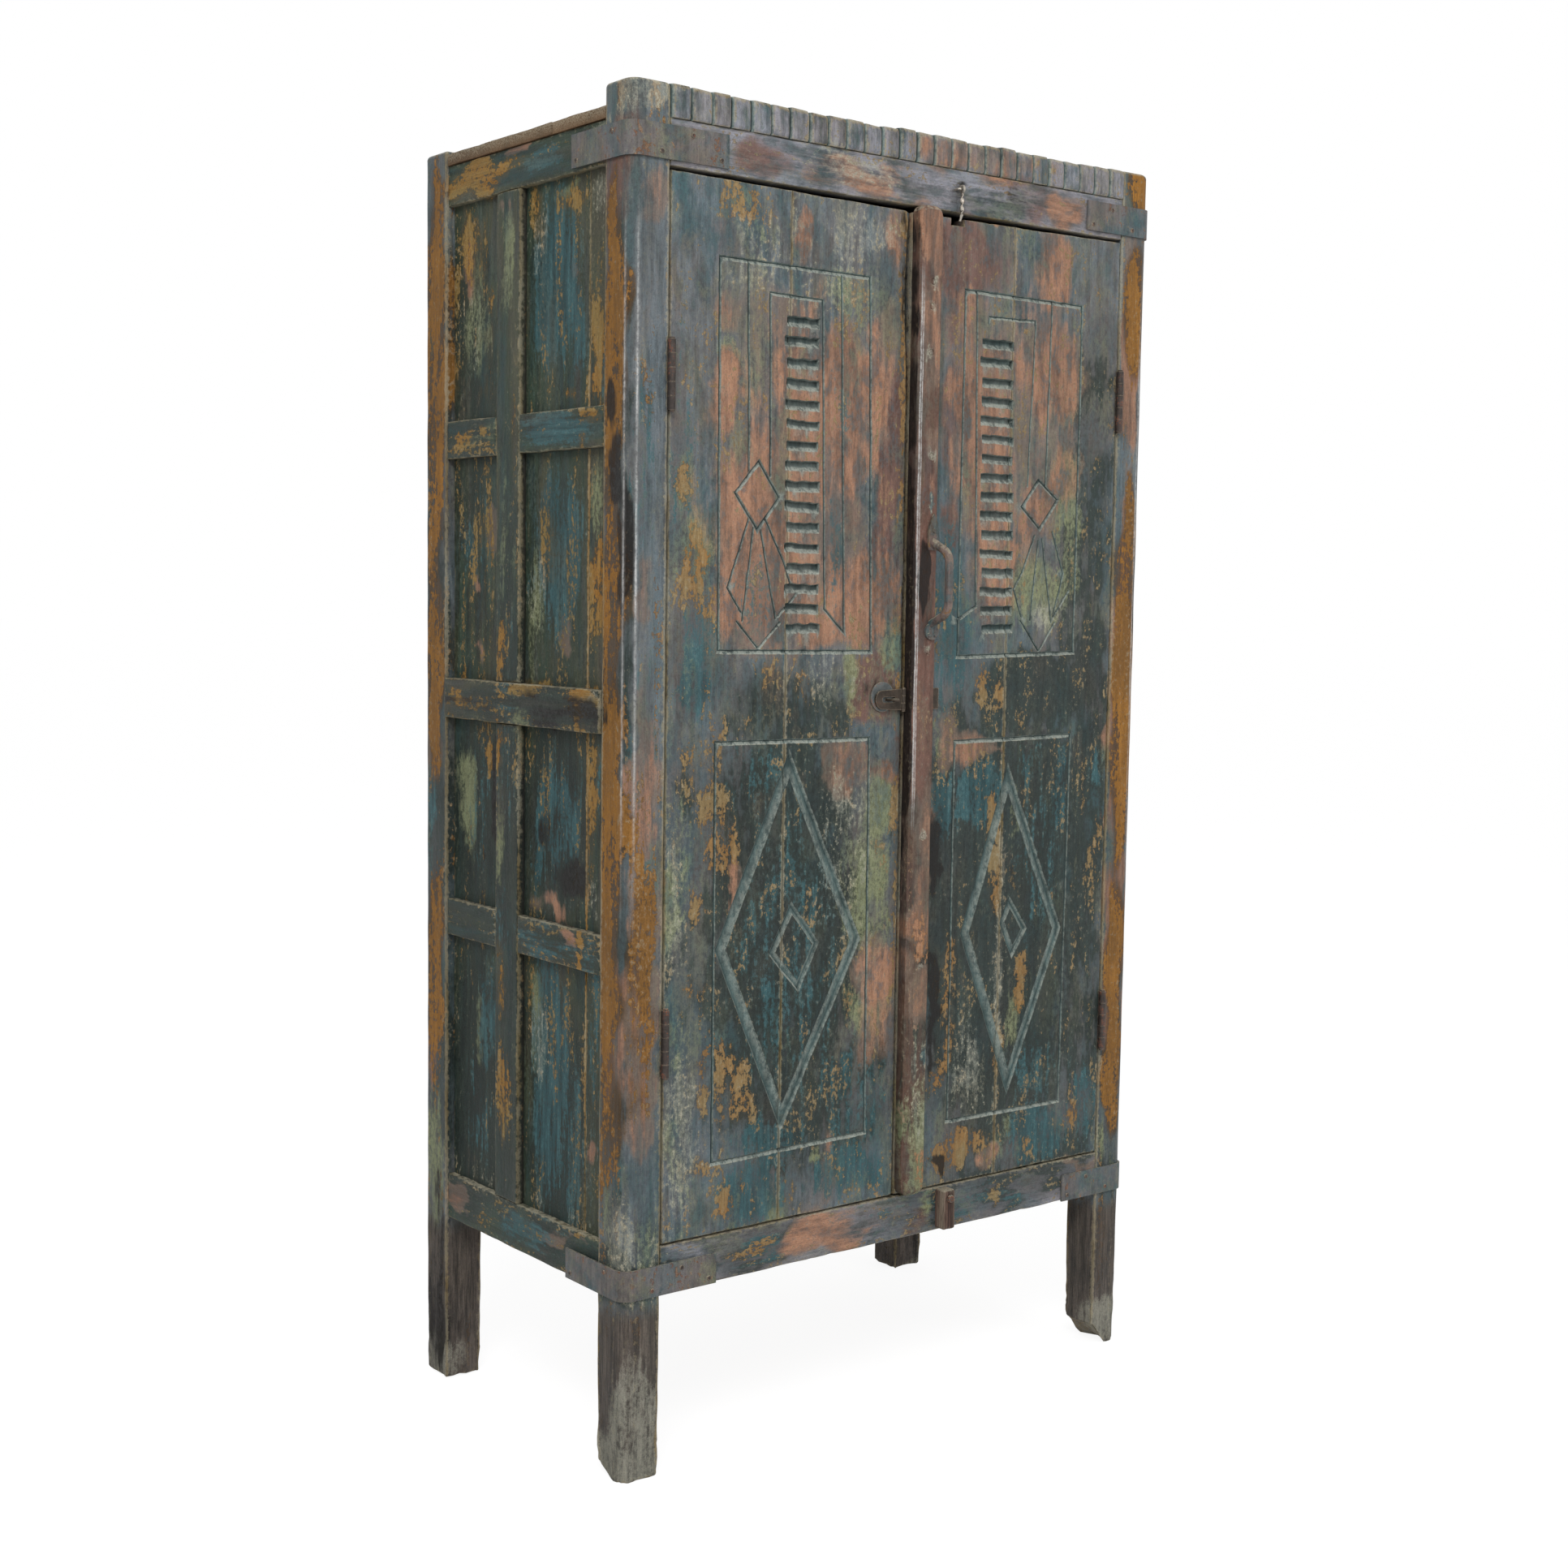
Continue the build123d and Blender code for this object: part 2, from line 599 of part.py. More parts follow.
# ---- hasp, staple and rosette ------------------------------------------------------------
def hasp_knuckles():
    """Heights of the lower, middle and upper knuckle of the hasp's hinge."""
    low = HASP_Z - HASP_WIDE / 2
    pitch = (HASP_WIDE + SEGMENT_GAP) / 3
    return [(low + n * pitch, low + (n + 1) * pitch - SEGMENT_GAP) for n in range(3)]


def upright_cylinder(x, out, radius, z, mode=Mode.ADD):
    """A vertical cylinder at x, its axis the given distance in front of the door faces."""
    with BuildSketch(Plane((x, FRONT - out, z[0]))) as section:
        Circle(radius)
    extrude(section.sketch, amount=z[1] - z[0], mode=mode)


def hasp_fixed_leaf():
    """The hasp's fixed leaf, let in behind the cover strip, with two knuckles."""
    lower, _, upper = hasp_knuckles()
    leaf_z = (lower[0], upper[1])
    with BuildPart() as leaf:
        block((STRIP[0] + 2, FIXED_LEAF_END), (-FIXED_LEAF_THICK, 0.0), leaf_z)
        for z in (lower, upper):
            upright_cylinder(HASP_AXIS, HASP_AXIS_OUT, HASP_BARREL_R, z)
            block((HASP_AXIS, STRIP[0] + 3), (-3.5, -1.0), z)
            hole = HASP_PIN_R + PIN_CLEARANCE
            upright_cylinder(HASP_AXIS, HASP_AXIS_OUT, hole, z, mode=Mode.SUBTRACT)
    finish(leaf, "hasp_fixed_leaf")


def hasp_leaf():
    """The swinging leaf with its slot, rounded at the tip."""
    _, z, _ = hasp_knuckles()
    with BuildPart() as leaf:
        with BuildSketch(FACE.offset(HASP_LEAF[0])):
            with BuildLine():
                half = HASP_WIDE / 2
                root = HASP_AXIS - HASP_BARREL_R
                tip_high = (HASP_TIP + 10, HASP_Z + half - 2)
                tip_low = (HASP_TIP + 10, HASP_Z - half + 2)
                ThreePointArc(tip_high, (HASP_TIP, HASP_Z), tip_low)
                Polyline(tip_low, (root, HASP_Z - half), (root, HASP_Z + half), tip_high)
            make_face()
            with Locations((sum(HASP_SLOT) / 2, HASP_Z)):
                SlotOverall(HASP_SLOT[1] - HASP_SLOT[0], HASP_SLOT_TALL, mode=Mode.SUBTRACT)
        extrude(amount=HASP_LEAF[1] - HASP_LEAF[0])
        block((HASP_AXIS - HASP_BARREL_R - 1, HASP_AXIS), (-HASP_LEAF[1], -HASP_LEAF[0]), z)
        upright_cylinder(HASP_AXIS, HASP_AXIS_OUT, HASP_BARREL_R, z)
        hole = HASP_PIN_R + PIN_CLEARANCE
        upright_cylinder(HASP_AXIS, HASP_AXIS_OUT, hole, z, mode=Mode.SUBTRACT)
    finish(leaf, "hasp_leaf")


def hasp_pin():
    """The hasp's pin, headed at both ends."""
    low = HASP_Z - HASP_WIDE / 2 - 0.3
    high = HASP_Z + HASP_WIDE / 2 + 0.3
    with BuildPart() as pin:
        upright_cylinder(HASP_AXIS, HASP_AXIS_OUT, HASP_PIN_R, (low, high))
        upright_cylinder(HASP_AXIS, HASP_AXIS_OUT, HASP_PIN_R + 1, (low - 1.5, low))
        upright_cylinder(HASP_AXIS, HASP_AXIS_OUT, HASP_PIN_R + 1, (high, high + 1.5))
    finish(pin, "hasp_pin")


def left_door_staple():
    """A wire loop through the left door that stands out through the hasp's slot."""
    bend_out = STAPLE_OUT - STAPLE_R - STAPLE_HALF
    left, right = STAPLE_X - STAPLE_HALF, STAPLE_X + STAPLE_HALF
    with BuildPart() as staple:
        with BuildLine(Plane((0, FRONT, HASP_Z), x_dir=(1, 0, 0), z_dir=(0, 0, 1))) as path:
            Line((left, STAPLE_IN), (left, -bend_out))
            ThreePointArc((left, -bend_out), (STAPLE_X, -bend_out - STAPLE_HALF), (right, -bend_out))
            Line((right, -bend_out), (right, STAPLE_IN))
        with BuildSketch(Plane(path.line @ 0, z_dir=path.line % 0)):
            Circle(STAPLE_R)
        sweep(path=path.line)
    finish(staple, "left_door_staple")


def left_door_rosette():
    """The round plate under the staple, with holes for its two legs."""
    with BuildPart() as rosette:
        with BuildSketch(FACE):
            with Locations(ROSETTE):
                Circle(ROSETTE_R)
            with Locations((STAPLE_X - STAPLE_HALF, HASP_Z), (STAPLE_X + STAPLE_HALF, HASP_Z)):
                Circle(STAPLE_R + 0.3, mode=Mode.SUBTRACT)
        extrude(amount=ROSETTE_THICK)
    finish(rosette, "left_door_rosette")


# ---- hinges ------------------------------------------------------------------------------
def hinge_segment(centre, number):
    """Heights of one knuckle of a hinge, counted from the bottom."""
    tall = (HINGE_TALL - (SEGMENTS - 1) * SEGMENT_GAP) / SEGMENTS
    low = centre - HINGE_TALL / 2 + number * (tall + SEGMENT_GAP)
    return (low, low + tall)


def hinge_leaf(side, centre, on_door):
    """One leaf: a let-in plate and the knuckles that belong to it."""
    inner = side * (HINGE_EDGE if on_door else OPENING)
    outer = side * (HINGE_EDGE - HINGE_LEAF if on_door else OPENING + HINGE_LEAF)
    block((inner, outer), (0.0, HINGE_LEAF_DEEP), (centre - HINGE_TALL / 2, centre + HINGE_TALL / 2))
    for number in range(1 if on_door else 0, SEGMENTS, 2):
        z = hinge_segment(centre, number)
        block((inner, outer), (-BARREL_OUT, 0.0), z)
        upright_cylinder(side * PIN_AXIS, BARREL_OUT, BARREL_R, z)
    hole_z = (centre - HINGE_TALL / 2, centre + HINGE_TALL / 2)
    hole = PIN_R + PIN_CLEARANCE
    upright_cylinder(side * PIN_AXIS, BARREL_OUT, hole, hole_z, mode=Mode.SUBTRACT)


def hinge_nodes():
    """Carcass leaves, the leaves of each door, and the pins."""
    with BuildPart() as carcass_leaves:
        for side in SIDES.values():
            for centre in hinge_heights(side):
                hinge_leaf(side, centre, on_door=False)
    finish(carcass_leaves, "hinge_leaves_carcass")

    for word, side in SIDES.items():
        with BuildPart() as door_leaves:
            for centre in hinge_heights(side):
                hinge_leaf(side, centre, on_door=True)
        finish(door_leaves, f"hinge_leaves_{word}")

    with BuildPart() as pins:
        for side in SIDES.values():
            for centre in hinge_heights(side):
                low = centre - HINGE_TALL / 2 - 0.3
                high = centre + HINGE_TALL / 2 + 0.3
                upright_cylinder(side * PIN_AXIS, BARREL_OUT, PIN_R, (low, high))
                upright_cylinder(side * PIN_AXIS, BARREL_OUT, PIN_HEAD_R, (low - 2, low))
                upright_cylinder(side * PIN_AXIS, BARREL_OUT, PIN_HEAD_R, (high, high + 2))
    finish(pins, "hinge_pins")


# ---- hook and turn button ----------------------------------------------------------------
def rail_staple():
    """A small staple in the top rail that carries the hook."""
    left, right = HOOK_X - RAIL_STAPLE_HALF, HOOK_X + RAIL_STAPLE_HALF
    with BuildPart() as staple:
        with BuildLine(Plane((0, FRONT, HOOK_Z), x_dir=(1, 0, 0), z_dir=(0, 0, 1))) as path:
            ends = ((left, 14), (left, -HOOK_OUT), (right, -HOOK_OUT), (right, 14))
            FilletPolyline(*ends, radius=RAIL_STAPLE_R + 0.6)
        with BuildSketch(Plane(path.line @ 0, z_dir=path.line % 0)):
            Circle(RAIL_STAPLE_R)
        sweep(path=path.line)
    finish(staple, "rail_staple")


def hook():
    """A straight hook with an eye round the staple and a tip bent towards the door."""
    with BuildPart() as piece:
        with Locations(Location((HOOK_X, FRONT - HOOK_OUT, HOOK_Z), (0, 90, 0))):
            Torus(HOOK_EYE_R, HOOK_R)
        with BuildLine(Plane((HOOK_X, FRONT, 0), x_dir=(0, -1, 0), z_dir=(-1, 0, 0))) as path:
            top = (HOOK_OUT, HOOK_Z - HOOK_EYE_R)
            FilletPolyline(top, (HOOK_OUT, HOOK_TIP + 11), (HOOK_OUT - 4, HOOK_TIP), radius=10)
        with BuildSketch(Plane(path.line @ 0, z_dir=path.line % 0)):
            Circle(HOOK_R)
        sweep(path=path.line)
    finish(piece, "hook")


def turn_button():
    """A wooden block that turns on one screw, and that screw."""
    pivot = (sum(BUTTON) / 2, BUTTON_PIVOT)
    with BuildPart() as button:
        with BuildSketch(FACE.offset(BUTTON_GAP)):
            with Locations((pivot[0], sum(BUTTON_Z) / 2)):
                RectangleRounded(BUTTON[1] - BUTTON[0], BUTTON_Z[1] - BUTTON_Z[0], 4)
            with Locations(pivot):
                Circle(SCREW_R + PIN_CLEARANCE, mode=Mode.SUBTRACT)
        extrude(amount=BUTTON_THICK)
        chamfer(button.faces().sort_by(Axis.Y)[0].outer_wire().edges(), length=2)
    finish(button, "turn_button")

    front_out = BUTTON_GAP + BUTTON_THICK + BUTTON_GAP
    with BuildPart() as screw:
        with BuildSketch(FACE.offset(-SCREW_IN)):
            with Locations(pivot):
                Circle(SCREW_R)
        extrude(amount=SCREW_IN + front_out)
        with BuildSketch(FACE.offset(front_out)):
            with Locations(pivot):
                Circle(SCREW_HEAD_R)
        extrude(amount=3, taper=20)
    finish(screw, "turn_button_screw")


# ---- the whole cupboard ------------------------------------------------------------------
def carcass():
    """Everything that stands still, but for the hinges."""
    for word, side in SIDES.items():
        post(f"post_front_{word}", side, front=True)
        post(f"post_back_{word}", side, front=False)
        side_panel(word, side)
        for place in STRAP_Z:
            strap(word, place)
    back_rail = (BACK_RAIL_FROM, BACK_RAIL_FROM + RAIL_THICK)
    for place, heights in (("bottom", BOTTOM_RAIL), ("top", TOP_RAIL)):
        cross_rail(f"{place}_rail_front", (0.0, RAIL_THICK), heights)
        cross_rail(f"{place}_rail_back", back_rail, heights)
    frieze()
    back_boards()
    cross_boards("top_boards", TOP_SEAMS, (RAIL_THICK, DEPTH), HALF, TOP_BOARD)
    floor_half = HALF - SIDE_RAIL_IN[1]
    cross_boards("bottom_boards", FLOOR_SEAMS, (RAIL_THICK, BACK_RAIL_FROM), floor_half, FLOOR_BOARD)
    for word, top in SHELF_TOPS.items():
        shelf(f"shelf_{word}", top)
    shelf_cleats()
    strap_nails()
    rail_staple()


def doors():
    """Both doors with their ironwork."""
    gap = BOARD_GAP / 2
    left, right = SIDES.values()
    door_board("left_door_hinge_board", left, (-HINGE_EDGE, LEFT_SEAM - gap))
    door_board("left_door_meeting_board", left, (LEFT_SEAM + gap, LEFT_MEETING))
    door_board("right_door_hinge_board", right, (RIGHT_SEAM + gap, HINGE_EDGE))
    door_board("right_door_meeting_board", right, (RIGHT_MEETING, RIGHT_SEAM - gap), notched=True)
    left_run = (-HINGE_EDGE + BATTEN_FROM_HINGE, LEFT_MEETING - BATTEN_FROM_MEETING)
    right_run = (RIGHT_MEETING + BATTEN_FROM_MEETING, HINGE_EDGE - BATTEN_FROM_HINGE)
    door_battens("left_door_battens", left_run)
    door_battens("right_door_battens", right_run)
    cover_strip()
    handle()
    left_door_rosette()
    left_door_staple()
    hasp_fixed_leaf()
    hasp_leaf()
    hasp_pin()


os.makedirs("parts", exist_ok=True)
carcass()
doors()
hinge_nodes()
hook()
turn_button()
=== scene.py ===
"""The looks of a tall painted plank cupboard: worn boards, line carving, old paint and forged iron.

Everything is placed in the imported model's own frame. Lengths in the making are millimetres
unless a name says otherwise, and meshes are written out in metres.
"""
import math

import bpy
import numpy as np
from bpy.props import FloatProperty, FloatVectorProperty, IntProperty, PointerProperty
from mathutils import Matrix, Vector
from mathutils.geometry import delaunay_2d_cdt


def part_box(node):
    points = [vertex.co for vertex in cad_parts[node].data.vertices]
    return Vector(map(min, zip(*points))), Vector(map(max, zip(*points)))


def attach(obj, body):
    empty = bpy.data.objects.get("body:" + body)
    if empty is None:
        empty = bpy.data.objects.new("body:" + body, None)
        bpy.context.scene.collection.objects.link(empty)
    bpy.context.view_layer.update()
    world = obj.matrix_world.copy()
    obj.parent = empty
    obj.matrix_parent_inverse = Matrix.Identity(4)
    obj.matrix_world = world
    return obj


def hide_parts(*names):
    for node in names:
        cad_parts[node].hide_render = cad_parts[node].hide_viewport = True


bl_info = {
    "name": "Painted plank cupboard",
    "version": (1, 0, 0),
    "blender": (4, 5, 0),
    "location": "3D View > Sidebar > Cupboard",
    "description": "Dresses the plank cupboard with worn boards, carved doors, old paint and iron",
    "category": "Object",
}

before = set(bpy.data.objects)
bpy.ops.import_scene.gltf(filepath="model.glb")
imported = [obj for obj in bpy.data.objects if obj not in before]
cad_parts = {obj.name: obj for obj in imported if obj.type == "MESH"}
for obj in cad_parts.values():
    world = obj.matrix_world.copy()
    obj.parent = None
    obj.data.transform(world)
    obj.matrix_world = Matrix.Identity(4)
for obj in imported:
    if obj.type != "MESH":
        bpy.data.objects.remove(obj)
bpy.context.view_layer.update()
MM = 0.001


def span(node, axis):
    """Lowest and highest value of a node along one axis, in millimetres."""
    low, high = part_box(node)
    return low[axis] / MM, high[axis] / MM


def spans(node):
    """The same along all three axes."""
    return [span(node, axis) for axis in (X, Y, Z)]


X, Y, Z = 0, 1, 2
FRONT = span("left_door_hinge_board", Y)[0]
OPEN_X, OUT_X = span("post_front_right", X)
BACK = span("post_back_left", Y)[1]
POST = OUT_X - OPEN_X
LEG_TOP = span("bottom_rail_front", Z)[0]
SHORT_RAIL_TALL = 54.0
CLEAT = 25.0
SIDES = {"left": -1.0, "right": 1.0}
SHELVES = ("lower", "middle", "upper")

# ---- where each coat of paint shows ------------------------------------------------------
# Each mark is a patch: across, up, half width, half height, how much of that coat is left.
# On the front, across is measured from the middle; on a side, back from the door faces.
MARKED = ("deep", "plum", "rust", "moss", "teal", "ochre", "soot", "dust")
COATS = (*MARKED, "bare")
FRONT_MARKS = {
    "deep": (
        (-215, 720, 150, 330, 0.9), (-120, 480, 110, 120, 0.6), (-200, 1020, 130, 60, 0.6),
        (200, 690, 190, 360, 1.0), (350, 1250, 60, 330, 0.6), (250, 1040, 120, 60, 0.8),
        (240, 330, 180, 60, 0.6), (160, 280, 260, 40, 0.5), (-250, 280, 90, 40, 0.6),
        (-200, 1520, 70, 60, 0.2), (440, 500, 30, 400, 0.5), (-440, 560, 30, 240, 0.3),
        (-440, 275, 70, 34, 0.7), (440, 275, 70, 34, 0.5), (10, 500, 40, 120, 0.4),
        (378, 900, 44, 330, 0.8), (378, 500, 44, 260, 0.6), (-60, 780, 60, 260, 0.3),
        (-385, 700, 40, 330, 0.4), (380, 1500, 30, 120, 0.5),
    ),
    "plum": (
        (-36, 1400, 26, 110, 1.0), (-40, 1250, 30, 100, 0.9), (-105, 1290, 22, 60, 0.6),
        (-100, 1490, 16, 60, 0.4), (-60, 1045, 52, 52, 1.0), (-60, 920, 40, 40, 0.4),
        (-95, 1270, 26, 60, 0.5), (95, 1650, 60, 70, 0.95), (165, 1650, 50, 60, 0.6),
        (110, 1560, 40, 60, 0.6), (12, 1450, 30, 160, 0.6), (14, 1300, 30, 120, 0.8),
        (10, 1020, 26, 150, 0.95), (14, 820, 20, 60, 0.6), (210, 1750, 60, 28, 0.6),
        (-260, 1750, 60, 22, 0.5), (75, 1440, 20, 110, 0.6), (80, 1290, 20, 60, 0.5),
        (-440, 1740, 40, 60, 0.4), (-300, 1620, 60, 50, 0.3), (0, 280, 70, 30, 0.4),
    ),
    "rust": (
        (-205, 1345, 150, 240, 0.45), (-198, 1340, 44, 220, 0.85), (-195, 1655, 17, 42, 0.85),
        (-36, 1670, 20, 45, 0.6), (-50, 1540, 30, 60, 0.6), (-120, 1460, 46, 90, 0.9),
        (-322, 1440, 18, 60, 0.9), (-325, 1545, 14, 30, 0.8), (-270, 1310, 66, 110, 0.8),
        (-265, 1180, 70, 80, 0.75), (-110, 1370, 44, 60, 0.7), (-88, 1170, 34, 60, 0.9),
        (-150, 1160, 60, 60, 0.75), (-40, 1215, 24, 45, 0.75), (-60, 1450, 20, 60, 0.8),
        (-50, 1180, 40, 80, 0.4), (-112, 950, 46, 34, 0.7), (-45, 925, 38, 18, 0.8),
        (-42, 650, 48, 44, 0.65), (-40, 560, 40, 50, 0.35), (-128, 380, 12, 50, 0.6),
        (24, 1670, 26, 55, 0.95), (20, 1540, 20, 90, 0.6), (30, 850, 22, 60, 0.9),
        (24, 735, 24, 70, 0.9), (24, 610, 24, 40, 0.8), (22, 1370, 16, 60, 0.4),
        (215, 1440, 115, 190, 0.5), (140, 1400, 60, 160, 0.85), (165, 1260, 40, 130, 0.85),
        (95, 1480, 24, 80, 0.5), (270, 1510, 60, 80, 0.85), (270, 1660, 40, 60, 0.75),
        (250, 1320, 50, 60, 0.65), (110, 1580, 30, 40, 0.7), (130, 958, 48, 24, 0.7),
        (80, 965, 12, 50, 0.6), (160, 1190, 40, 70, 0.6), (172, 345, 24, 22, 0.8),
        (-115, 1747, 95, 26, 0.5), (292, 1745, 38, 26, 0.8), (150, 1728, 22, 9, 0.7),
        (110, 1800, 150, 26, 0.5), (-440, 1690, 26, 40, 0.5), (-150, 292, 66, 24, 0.85),
        (-100, 268, 70, 12, 0.6), (380, 302, 44, 10, 0.5), (444, 1590, 26, 130, 0.8),
        (440, 900, 26, 420, 0.7), (-446, 620, 26, 190, 0.72), (-446, 900, 26, 150, 0.62),
        (-456, 700, 8, 200, 0.3), (-450, 1180, 12, 50, 0.45), (-420, 780, 8, 70, 0.5),
        (-300, 790, 12, 50, 0.45), (445, 1460, 26, 60, 0.5),
    ),
    "moss": (
        (-275, 1520, 26, 100, 0.7), (-325, 1525, 22, 40, 0.5), (-320, 1480, 22, 50, 0.5),
        (-110, 1575, 40, 50, 0.6), (-285, 1665, 40, 32, 0.4), (-390, 1330, 16, 50, 0.65),
        (-370, 1215, 30, 56, 0.6), (-104, 1058, 16, 54, 1.0), (-30, 1110, 20, 60, 0.6),
        (-46, 880, 36, 58, 1.0), (-64, 790, 44, 60, 0.85), (-60, 715, 44, 50, 0.7),
        (-395, 800, 20, 190, 0.55), (-380, 590, 24, 60, 0.5), (-392, 400, 24, 90, 0.35),
        (-222, 338, 20, 20, 0.8), (-150, 390, 18, 10, 0.8), (-118, 368, 16, 20, 0.7),
        (-60, 600, 46, 50, 0.5), (300, 1470, 34, 70, 0.5), (330, 1560, 16, 34, 0.5),
        (292, 1330, 36, 70, 0.7), (320, 1240, 30, 90, 0.6), (255, 1180, 64, 62, 0.6),
        (60, 975, 10, 44, 0.7), (220, 860, 9, 44, 0.6), (225, 545, 16, 44, 0.5),
        (205, 370, 24, 42, 0.5), (20, 410, 26, 90, 0.65), (22, 540, 24, 50, 0.4),
        (62, 290, 12, 22, 0.7), (430, 900, 20, 200, 0.25), (440, 310, 40, 60, 0.5),
        (-455, 300, 30, 60, 0.4),
    ),
    "teal": (
        (-395, 1330, 22, 110, 0.55), (-405, 1470, 14, 70, 0.4), (-365, 1120, 34, 90, 0.6),
        (-368, 1062, 28, 48, 0.95), (-134, 1250, 16, 66, 0.8), (-124, 1480, 9, 90, 0.5),
        (-270, 1180, 40, 60, 0.35), (-240, 430, 54, 38, 0.85), (-258, 362, 54, 44, 1.0),
        (-228, 600, 34, 56, 0.6), (-108, 360, 54, 34, 0.7), (-60, 370, 34, 34, 0.75),
        (-200, 690, 90, 200, 0.4), (-280, 940, 60, 40, 0.45), (-90, 480, 60, 80, 0.45),
        (76, 868, 26, 54, 1.0), (145, 895, 48, 44, 0.95), (246, 930, 16, 44, 0.6),
        (312, 895, 18, 64, 0.8), (390, 920, 12, 34, 0.6), (95, 1120, 34, 90, 0.75),
        (82, 1060, 22, 44, 0.5), (78, 1210, 24, 90, 0.75), (285, 368, 64, 46, 0.9),
        (382, 400, 26, 54, 0.7), (265, 470, 50, 50, 0.45), (165, 1140, 34, 40, 0.4),
        (270, 760, 40, 120, 0.4), (-455, 1350, 22, 120, 0.5), (-450, 1000, 24, 120, 0.35),
        (-440, 760, 24, 100, 0.45), (-240, 284, 40, 20, 0.6), (170, 280, 90, 26, 0.5),
        (20, 1310, 12, 20, 0.6), (30, 520, 10, 14, 0.7), (30, 300, 160, 12, 0.3),
    ),
    "ochre": (
        (-290, 1685, 46, 26, 0.45), (-370, 1212, 26, 50, 0.75), (-388, 1330, 12, 46, 0.6),
        (-352, 1160, 20, 26, 0.6), (-190, 1062, 18, 34, 0.65), (-252, 1070, 14, 28, 0.55),
        (-330, 950, 10, 60, 0.8), (-336, 868, 24, 52, 0.7), (-308, 850, 20, 30, 0.65),
        (-374, 955, 20, 44, 0.55), (-360, 765, 12, 30, 0.6), (-368, 660, 20, 20, 0.85),
        (-346, 520, 7, 56, 1.0), (-310, 530, 24, 38, 0.75), (-290, 482, 30, 20, 0.7),
        (-320, 572, 20, 30, 0.6), (-350, 410, 14, 16, 0.85), (-312, 350, 20, 20, 1.0),
        (-280, 380, 8, 22, 0.7), (-200, 350, 8, 32, 0.9), (-17, 1500, 7, 230, 0.9),
        (-16, 900, 6, 300, 0.6), (142, 1058, 12, 38, 0.8), (182, 1040, 12, 22, 0.8),
        (176, 842, 12, 52, 0.75), (182, 762, 14, 60, 0.85), (96, 655, 14, 34, 1.0),
        (92, 560, 10, 84, 1.0), (76, 470, 16, 20, 1.0), (122, 368, 56, 30, 1.0),
        (240, 600, 10, 54, 0.95), (196, 500, 10, 44, 0.6), (356, 375, 14, 20, 0.75),
        (258, 350, 8, 12, 0.7), (196, 286, 6, 22, 0.8), (-270, 292, 40, 10, 0.5),
        (-448, 680, 24, 190, 0.4), (450, 1792, 28, 30, 1.0), (450, 1610, 22, 100, 1.0),
        (448, 1310, 14, 60, 0.6), (440, 1200, 24, 80, 0.75), (445, 950, 26, 200, 0.95),
        (445, 640, 22, 110, 0.9), (442, 450, 20, 120, 0.8), (-463, 868, 8, 26, 0.9),
        (-460, 1800, 30, 24, 0.5), (250, 1796, 12, 14, 0.7), (20, 690, 18, 40, 0.45),
        (390, 790, 14, 50, 0.35), (20, 352, 18, 30, 0.4), (36, 1345, 6, 22, 0.7),
    ),
    # grease marks, and painted shadow in the gap between the left door and the cover strip (the
    # marks at -7 and -18)
    "soot": (
        (-7, 1250, 5, 460, 0.8), (62, 580, 12, 100, 0.9), (82, 345, 26, 6, 1.0),
        (60, 800, 14, 60, 0.7), (230, 700, 36, 120, 0.2), (-60, 480, 44, 90, 0.2),
        (-18, 1610, 8, 110, 0.5), (13, 1198, 11, 56, 1.0), (-320, 1040, 60, 20, 0.3),
        (200, 1747, 24, 24, 0.5), (80, 1735, 14, 24, 0.5), (-50, 1040, 34, 28, 0.4),
    ),
    "dust": (
        (-385, 450, 28, 120, 0.55), (-398, 760, 16, 160, 0.4), (-200, 1620, 120, 60, 0.3),
        (-150, 1070, 60, 40, 0.4), (-110, 830, 50, 120, 0.4), (140, 480, 40, 80, 0.45),
        (272, 1150, 34, 24, 0.8), (22, 1614, 4, 12, 1.0), (20, 1580, 4, 12, 0.9),
        (14, 1518, 8, 12, 1.0), (-212, 1690, 6, 30, 0.6), (-90, 1665, 70, 40, 0.45),
        (-250, 1600, 90, 30, 0.35), (-115, 1752, 90, 22, 0.6), (-452, 60, 50, 100, 0.8),
        (195, 650, 10, 200, 0.45), (22, 1374, 8, 8, 1.0), (21, 1101, 7, 7, 1.0),
        (20, 838, 7, 7, 1.0), (21, 652, 6, 6, 0.9), (18, 1320, 6, 30, 0.4),
        (-445, 10, 60, 50, 1.0), (-450, 1805, 50, 22, 0.8), (-445, 312, 60, 8, 0.6),
        (445, 30, 60, 40, 0.8), (-470, 330, 20, 60, 0.6), (-440, 275, 60, 30, 0.5),
        (-300, 1640, 40, 30, 0.4), (20, 470, 20, 90, 0.4),
    ),
}
